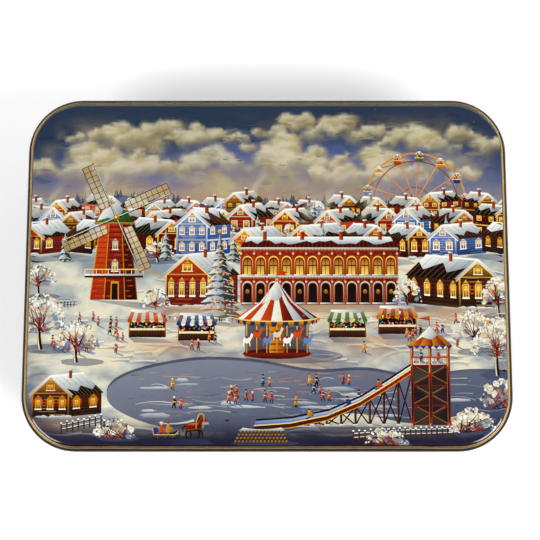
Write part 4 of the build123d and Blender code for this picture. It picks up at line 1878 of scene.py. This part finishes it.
skinForm = {
    "ripple": (1.5, 0.4),  # detail and roughness only
    "patches": (34.0, 4.0, 0.6),
    "hazy": (0.5, 0.72),  # where the haze starts and is full
    "hairs": (160.0, 2.0, 0.5, (1.0, 14.0, 1.0)),
    "hairline": (0.63, 0.7),
    "hairDull": 0.05,
    "hairDepth": 0.12,
    "dustScale": 260.0,
    "speck": (0.13, 0.05),  # distance from the middle of a cell, from no dust to full
    "bare": 0.8,  # share of the cells that hold no dust
    "upward": (0.2, 0.8),  # dust lies on what faces up
}


def lacquerSkinGroup():
    # the surface of rubbed lacquer: a faint ripple, hazy patches, hairlines and specks of dust
    inputs = {"Ripple Scale": 420.0, "Gloss": 0.06, "Haze": 0.22, "Dust": 0.3}
    group, given, out = startGroup("lacquerSkin", inputs, ("Height", "Roughness", "Dust"))
    where = place(group)
    ripple = speckle(group, where, given["Ripple Scale"], *skinForm["ripple"])
    patches = speckle(group, where, *skinForm["patches"])
    hairline = ramp(group, speckle(group, where, *skinForm["hairs"]), *skinForm["hairline"])
    hazy = sums(group, "MULTIPLY", ramp(group, patches, *skinForm["hazy"]), given["Haze"])
    marked = sums(group, "MULTIPLY_ADD", hairline, skinForm["hairDull"], hazy)
    feed(group, out["Roughness"], sums(group, "ADD", marked, given["Gloss"]))
    cut = sums(group, "MULTIPLY", hairline, skinForm["hairDepth"])
    feed(group, out["Height"], sums(group, "SUBTRACT", ripple, cut))
    cells = put(group, "ShaderNodeTexVoronoi", {"Vector": where, "Scale": skinForm["dustScale"]}).outputs
    speck = ramp(group, cells["Distance"], *skinForm["speck"])
    lot = put(group, "ShaderNodeSeparateColor", {0: cells["Color"]}).outputs[0]
    rare = sums(group, "GREATER_THAN", lot, skinForm["bare"])
    upward = ramp(group, axesOf(group, place(group, "Normal"))["Z"], *skinForm["upward"])
    lying = sums(group, "MULTIPLY", sums(group, "MULTIPLY", speck, rare), upward)
    feed(group, out["Dust"], sums(group, "MULTIPLY", lying, given["Dust"]))
    return group


def insideGroup():
    # mask of the box's inside: further in than the wall, and between two heights (metres)
    group, given, out = startGroup("insideMask", {"Wall": 0.004, "Low": -1.0, "High": 1.0}, ("Mask",))
    axes = axesOf(group, place(group))
    radius = lidForm["cornerRadius"] * mm
    past, squares = [], []
    for axis, half in (("X", halfLength), ("Y", halfDepth)):
        past.append(sums(group, "SUBTRACT", sums(group, "ABSOLUTE", axes[axis]), half*mm - radius))
        squares.append(sums(group, "POWER", sums(group, "MAXIMUM", past[-1], 0.0), 2.0))
    outside = sums(group, "SQRT", sums(group, "ADD", *squares))
    within = sums(group, "MINIMUM", sums(group, "MAXIMUM", *past), 0.0)
    inset = sums(group, "SUBTRACT", sums(group, "SUBTRACT", radius, outside), within)
    mask = sums(group, "GREATER_THAN", inset, given["Wall"])
    for side, limit in (("GREATER_THAN", "Low"), ("LESS_THAN", "High")):
        mask = sums(group, "MULTIPLY", mask, sums(group, side, axes["Z"], given[limit]))
    feed(group, out["Mask"], mask)
    return group


rubForm = {
    "broken": (240.0, 5.0, 0.7),
    "pull": 0.45,  # how much more is worn close to the edge
    "worn": (0.82, 0.98),
    "dull": (0.1, 0.5),
}


def rubbedEdgeGroup():
    # worn lacquer near one height of the wall, such as the foot or the seam
    inputs = {"Height": 0.0, "Reach": 0.0012, "Amount": 0.5}
    group, given, out = startGroup("rubbedEdge", inputs, ("Mask", "Dull"))
    where = place(group)
    away = sums(group, "ABSOLUTE", sums(group, "SUBTRACT", axesOf(group, where)["Z"], given["Height"]))
    near = sums(group, "SUBTRACT", 1.0, sums(group, "DIVIDE", away, given["Reach"]))
    broken = speckle(group, where, *rubForm["broken"])
    rubbed = sums(group, "ADD", sums(group, "MULTIPLY", near, rubForm["pull"]), broken)
    worn = ramp(group, rubbed, *rubForm["worn"])
    feed(group, out["Mask"], sums(group, "MULTIPLY", worn, given["Amount"]))
    feed(group, out["Dull"], ramp(group, near, *rubForm["dull"]))
    return group


grainForm = {
    "drift": (90.0, 3.0, 0.6),
    "streaks": (4.0, 0.65, (1.0, 3.5, 1.0)),  # detail, roughness and stretch
    "driftShare": 0.35,
    "streakShare": 0.65,
    "gain": 4.0,
}


def brushGrainGroup():
    # streaks of a fine brush, as a tone and as a height
    group, given, out = startGroup("brushGrain", {"Scale": 300.0, "Contrast": 0.2}, ("Tone", "Height"))
    where = place(group)
    drift = speckle(group, where, *grainForm["drift"])
    streaks = speckle(group, where, given["Scale"], *grainForm["streaks"])
    drifting = sums(group, "MULTIPLY", drift, grainForm["driftShare"])
    both = sums(group, "ADD", sums(group, "MULTIPLY", streaks, grainForm["streakShare"]), drifting)
    spread = sums(group, "MULTIPLY", sums(group, "SUBTRACT", both, 0.5), given["Contrast"])
    feed(group, out["Tone"], sums(group, "MULTIPLY_ADD", spread, grainForm["gain"], 1.0))
    feed(group, out["Height"], streaks)
    return group


lacquerSkin = lacquerSkinGroup()
insideMask = insideGroup()
rubbedEdge = rubbedEdgeGroup()
brushGrain = brushGrainGroup()
print("shared effects ready")


def useGroup(tree, group, **values):
    return put(tree, "ShaderNodeGroup", values, node_tree=group).outputs


def startFinish(name, **values):
    # a new material with its shader; plain values go on the shader's own sockets
    finish = bpy.data.materials.new(name)
    finish.use_nodes = True
    tree = finish.node_tree
    shader = tree.nodes["Principled BSDF"]
    for label, value in values.items():
        feed(tree, shader.inputs[label.replace("_", " ")], value)
    return finish, tree, shader.inputs


def bump(tree, shader, height, strength, distance):
    feeds = {"Height": height, "Strength": strength, "Distance": distance}
    feed(tree, shader["Normal"], put(tree, "ShaderNodeBump", feeds).outputs["Normal"])


lacquerForm = {
    "black": (0.0095, 0.0085, 0.0088),
    "blackWarm": (0.015, 0.0105, 0.009),
    "red": (0.36, 0.018, 0.012),
    "redDeep": (0.28, 0.012, 0.009),
    "rubbed": (0.1, 0.055, 0.03),
    "rubbedDull": 0.4,
    "dust": (0.42, 0.4, 0.37),
    "clouds": (60.0, 4.0, 0.6),  # the noise between two tones
    "cloudEdges": (0.35, 0.7),
    "coat": 0.9,
    "dullCoat": 0.08,
    "coatRoughness": 0.035,
    "insideCoatRoughness": 0.06,
    "handled": (0.02, 0.3),  # upward part of the normal, from gloss to none
    "lip": {"Height": 0.0345, "Reach": 0.0008, "Amount": 0.6},  # m, the worn top of the lining
}


def cloudsOf(tree):
    return ramp(tree, speckle(tree, place(tree), *lacquerForm["clouds"]), *lacquerForm["cloudEdges"])


def lacquerFinish(name, inside=None, rubs=(), dullEdge=False):
    # black lacquer; inside gives the mask values of the part that is red, rubs the worn heights
    coat = lacquerForm["coat"]
    shine = {"Coat_Weight": coat, "Coat_Roughness": lacquerForm["coatRoughness"]}
    finish, tree, shader = startFinish(name, **shine, Specular_IOR_Level=0.05)
    clouds = cloudsOf(tree)
    skin = useGroup(tree, lacquerSkin, Dust=0.5)
    colour = mixColours(tree, clouds, lacquerForm["black"], lacquerForm["blackWarm"])
    if inside:
        red = mixColours(tree, clouds, lacquerForm["red"], lacquerForm["redDeep"])
        colour = mixColours(tree, useGroup(tree, insideMask, **inside)["Mask"], colour, red)
    rough = skin["Roughness"]
    for rub in rubs:
        worn = useGroup(tree, rubbedEdge, **rub)
        colour = mixColours(tree, worn["Mask"], colour, lacquerForm["rubbed"])
        rough = sums(tree, "MULTIPLY_ADD", worn["Mask"], lacquerForm["rubbedDull"], rough)
        if rub["Height"] > 0:  # the seam's edges have lost their gloss
            gloss = ramp(tree, worn["Dull"], 0.0, 1.0, coat, lacquerForm["dullCoat"])
            feed(tree, shader["Coat Weight"], gloss)
    if dullEdge:  # hands have taken the gloss off where the lid rounds over
        upward = axesOf(tree, place(tree, "Normal"))["Z"]
        handled = ramp(tree, upward, *lacquerForm["handled"], coat, lacquerForm["dullCoat"])
        feed(tree, shader["Coat Weight"], handled)
    feed(tree, shader["Base Color"], mixColours(tree, skin["Dust"], colour, lacquerForm["dust"]))
    feed(tree, shader["Roughness"], rough)
    bump(tree, shader, skin["Height"], 0.05, 0.0001)
    return finish


def redLacquerFinish():
    shine = {"Coat_Weight": lacquerForm["coat"], "Coat_Roughness": lacquerForm["insideCoatRoughness"]}
    finish, tree, shader = startFinish("red_lacquer_inside", **shine, Specular_IOR_Level=0.5)
    skin = useGroup(tree, lacquerSkin, Haze=0.3)
    lip = useGroup(tree, rubbedEdge, **lacquerForm["lip"])["Mask"]
    colour = mixColours(tree, cloudsOf(tree), lacquerForm["red"], lacquerForm["redDeep"])
    colour = mixColours(tree, lip, colour, lacquerForm["rubbed"])
    feed(tree, shader["Base Color"], mixColours(tree, skin["Dust"], colour, lacquerForm["dust"]))
    feed(tree, shader["Roughness"], skin["Roughness"])
    bump(tree, shader, skin["Height"], 0.06, 0.0001)
    return finish


metalForm = {
    "brass": (0.56, 0.36, 0.12),
    "brassTarnish": (0.2, 0.105, 0.035),
    "steel": (0.46, 0.45, 0.44),
    "steelStain": (0.16, 0.13, 0.11),
    "stains": (320.0, 6.0, 0.65),
    "stainEdges": (0.42, 0.68),
    "roughness": (0.26, 0.55),  # bright and stained
}


def metalFinish(name, bright, dull, streaks):
    finish, tree, shader = startFinish(name, Metallic=1.0)
    stain = ramp(tree, speckle(tree, place(tree), *metalForm["stains"]), *metalForm["stainEdges"])
    grain = useGroup(tree, brushGrain, Scale=streaks, Contrast=0.15)
    colour = mixColours(tree, stain, metalForm[bright], metalForm[dull])
    feed(tree, shader["Base Color"], mixColours(tree, 1.0, colour, grain["Tone"], "MULTIPLY"))
    feed(tree, shader["Roughness"], ramp(tree, stain, 0.0, 1.0, *metalForm["roughness"]))
    bump(tree, shader, grain["Height"], 0.15, 0.00005)
    return finish


goldPaint = {
    "thick": (0.46, 0.3, 0.1),
    "thin": (0.26, 0.17, 0.06),
    "patches": (260.0, 5.0, 0.7),
    "patchEdges": (0.5, 0.75),
    "metallic": (1.0, 0.8),  # thick and thin
    "flakes": (5200.0, 2.0, 0.6),
    "flakeRoughness": (0.3, 0.7, 0.26, 0.42),  # from these values of the noise, to these
}


def goldPaintFinish():
    # bronze powder in varnish, thinner in places
    finish, tree, shader = startFinish("gold_paint", Coat_Weight=0.6, Coat_Roughness=0.05)
    where = place(tree)
    thin = ramp(tree, speckle(tree, where, *goldPaint["patches"]), *goldPaint["patchEdges"])
    flakes = speckle(tree, where, *goldPaint["flakes"])
    grain = useGroup(tree, brushGrain, Scale=500.0, Contrast=0.22)
    colour = mixColours(tree, thin, goldPaint["thick"], goldPaint["thin"])
    feed(tree, shader["Base Color"], mixColours(tree, 1.0, colour, grain["Tone"], "MULTIPLY"))
    feed(tree, shader["Metallic"], ramp(tree, thin, 0.0, 1.0, *goldPaint["metallic"]))
    feed(tree, shader["Roughness"], ramp(tree, flakes, *goldPaint["flakeRoughness"]))
    bump(tree, shader, flakes, 0.2, 0.00003)
    return finish


def pictureFinish():
    # brushed tempera under clear lacquer
    shine = {"Coat_Weight": 1.0, "Coat_Roughness": 0.03, "Specular_IOR_Level": 0.1}
    finish, tree, shader = startFinish("picture_paint", **shine)
    paintColour = put(tree, "ShaderNodeAttribute", attribute_name="paint").outputs["Color"]
    grain = useGroup(tree, brushGrain, Scale=620.0, Contrast=0.11)
    skin = useGroup(tree, lacquerSkin, Gloss=0.3, Dust=0.25)
    colour = mixColours(tree, 1.0, paintColour, grain["Tone"], "MULTIPLY")
    feed(tree, shader["Base Color"], mixColours(tree, skin["Dust"], colour, lacquerForm["dust"]))
    feed(tree, shader["Roughness"], skin["Roughness"])
    bump(tree, shader, skin["Height"], 0.04, 0.0001)
    return finish


def dress(name, finish):
    slots = bpy.data.objects[name].material_slots
    for slot in slots:
        slot.material = finish
    if not slots:
        bpy.data.objects[name].data.materials.append(finish)


wallRubs = (  # m up the wall
    {"Height": 0.0, "Reach": 0.0016, "Amount": 0.5},
    {"Height": 0.031, "Reach": 0.0006, "Amount": 0.3},
)
dress("body_wall", lacquerFinish("black_lacquer_body", rubs=wallRubs))
dress("base_panel", lacquerFinish("black_lacquer_floor", {"Wall": 0.0044, "Low": 0.0039}, wallRubs[:1]))
dress("inner_lining", redLacquerFinish())
dress("lid_rim", lacquerFinish("black_lacquer_rim", {"Wall": 0.00402}, wallRubs[1:]))
dress("lid_panel", lacquerFinish("black_lacquer_lid", {"Wall": 0.0041, "High": 0.0393}, dullEdge=True))
brass = metalFinish("aged_brass", "brass", "brassTarnish", 700.0)
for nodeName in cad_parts:
    if "knuckle" in nodeName:
        dress(nodeName, brass)
dress("hinge_pin", metalFinish("worn_steel", "steel", "steelStain", 900.0))
film.data.materials.append(pictureFinish())
goldLine.data.materials.append(goldPaintFinish())
print("finishes on")


# table, light and camera

studio = {
    "tableSize": 4.0,  # m
    "tableColour": (0.96, 0.96, 0.96),
    "tableClouds": 3.0,
    "tableStain": 0.985,
    "tableGlow": 0.325,  # added for the camera, so that only the deep of the shadow stays grey
    "farGlow": 1.0,  # far from the box the table is plain white
    "glowNear": 0.22,  # m from the middle of the box
    "glowFar": 0.6,
    "screens": (0.3, 0.85),  # how far to the side the screens start and are full
    "leftScreen": 0.95,  # their brightness
    "rightScreen": 1.4,
    "ends": 0.14,  # and that in front and behind
    "ceiling": (0.45, 0.85),
    "overhead": 0.07,
}


def seenOf(tree):
    return put(tree, "ShaderNodeLightPath").outputs["Is Camera Ray"]


def buildTable():
    half = studio["tableSize"] / 2
    mesh = bpy.data.meshes.new("table")
    mesh.from_pydata([(x, y, 0) for x, y in box(-half, -half, half, half)], [], [(0, 1, 2, 3)])
    table = bpy.data.objects.new("table", mesh)
    scene.collection.objects.link(table)
    finish, tree, shader = startFinish("table_white", Roughness=0.8, Specular_IOR_Level=0.0)
    where = place(tree)
    cloud = speckle(tree, where, studio["tableClouds"])
    low = tuple(studio["tableStain"] * c for c in studio["tableColour"])
    feed(tree, shader["Base Color"], mixColours(tree, cloud, studio["tableColour"], low))
    away = put(tree, "ShaderNodeVectorMath", {0: where}, operation="LENGTH").outputs["Value"]
    reach = (studio["glowNear"], studio["glowFar"], studio["tableGlow"], studio["farGlow"])
    strength = sums(tree, "MULTIPLY", seenOf(tree), ramp(tree, away, *reach))
    glow = put(tree, "ShaderNodeEmission", {"Strength": strength}).outputs["Emission"]
    surface = tree.nodes["Principled BSDF"].outputs["BSDF"]
    both = put(tree, "ShaderNodeAddShader", {0: surface, 1: glow}).outputs["Shader"]
    feed(tree, tree.nodes["Material Output"].inputs["Surface"], both)
    mesh.materials.append(finish)


def buildWorld():
    # broad white screens to the left and right, little light straight above
    world = bpy.data.worlds.new("studio")
    world.use_nodes = True
    tree = world.node_tree
    axes = axesOf(tree, place(tree, "Generated"))
    start, full = studio["screens"]
    left = ramp(tree, axes["X"], -start, -full, studio["ends"], studio["leftScreen"])
    around = ramp(tree, axes["X"], start, full, left, studio["rightScreen"])
    level = ramp(tree, axes["Z"], *studio["ceiling"], around, studio["overhead"])
    sky = tree.nodes["Background"].inputs
    feed(tree, sky["Strength"], sums(tree, "MAXIMUM", level, seenOf(tree)))  # the camera sees plain white
    feed(tree, sky["Color"], (1, 1, 1))
    scene.world = world


lampPlan = {  # place (m), size (m), watts
    "rightLamp": ((0.8, -0.6, 1.1), (0.56, 0.5), 11.3),
    "leftLamp": ((-0.8, -0.6, 1.1), (0.56, 0.5), 8.5),
    "backLamp": ((0.1, 0.82, 0.92), (1.4, 0.32), 2.4),
}


def buildLamps():
    for name, (spot, size, watts) in lampPlan.items():
        lamp = bpy.data.lights.new(name, "AREA")
        lamp.shape = "RECTANGLE"
        lamp.size, lamp.size_y = size
        lamp.energy = watts
        holder = bpy.data.objects.new(name, lamp)
        holder.location = spot
        holder.rotation_euler = (-Vector(spot)).to_track_quat("-Z", "Y").to_euler()
        scene.collection.objects.link(holder)


cameraForm = {
    "place": (0.0009, -0.052, 0.394),
    "tilt": 8.51,  # degrees from straight down
    "lens": 76.6,
    "sensor": 36.0,
    "clipStart": 0.01,
}


def buildCamera():
    eye = bpy.data.cameras.new("camera")
    eye.lens = cameraForm["lens"]
    eye.sensor_width = cameraForm["sensor"]
    eye.clip_start = cameraForm["clipStart"]
    holder = bpy.data.objects.new("camera", eye)
    holder.location = cameraForm["place"]
    holder.rotation_euler = (radians(cameraForm["tilt"]), 0, 0)
    scene.collection.objects.link(holder)
    scene.camera = holder


buildTable()
buildWorld()
buildLamps()
buildCamera()
print("studio set")
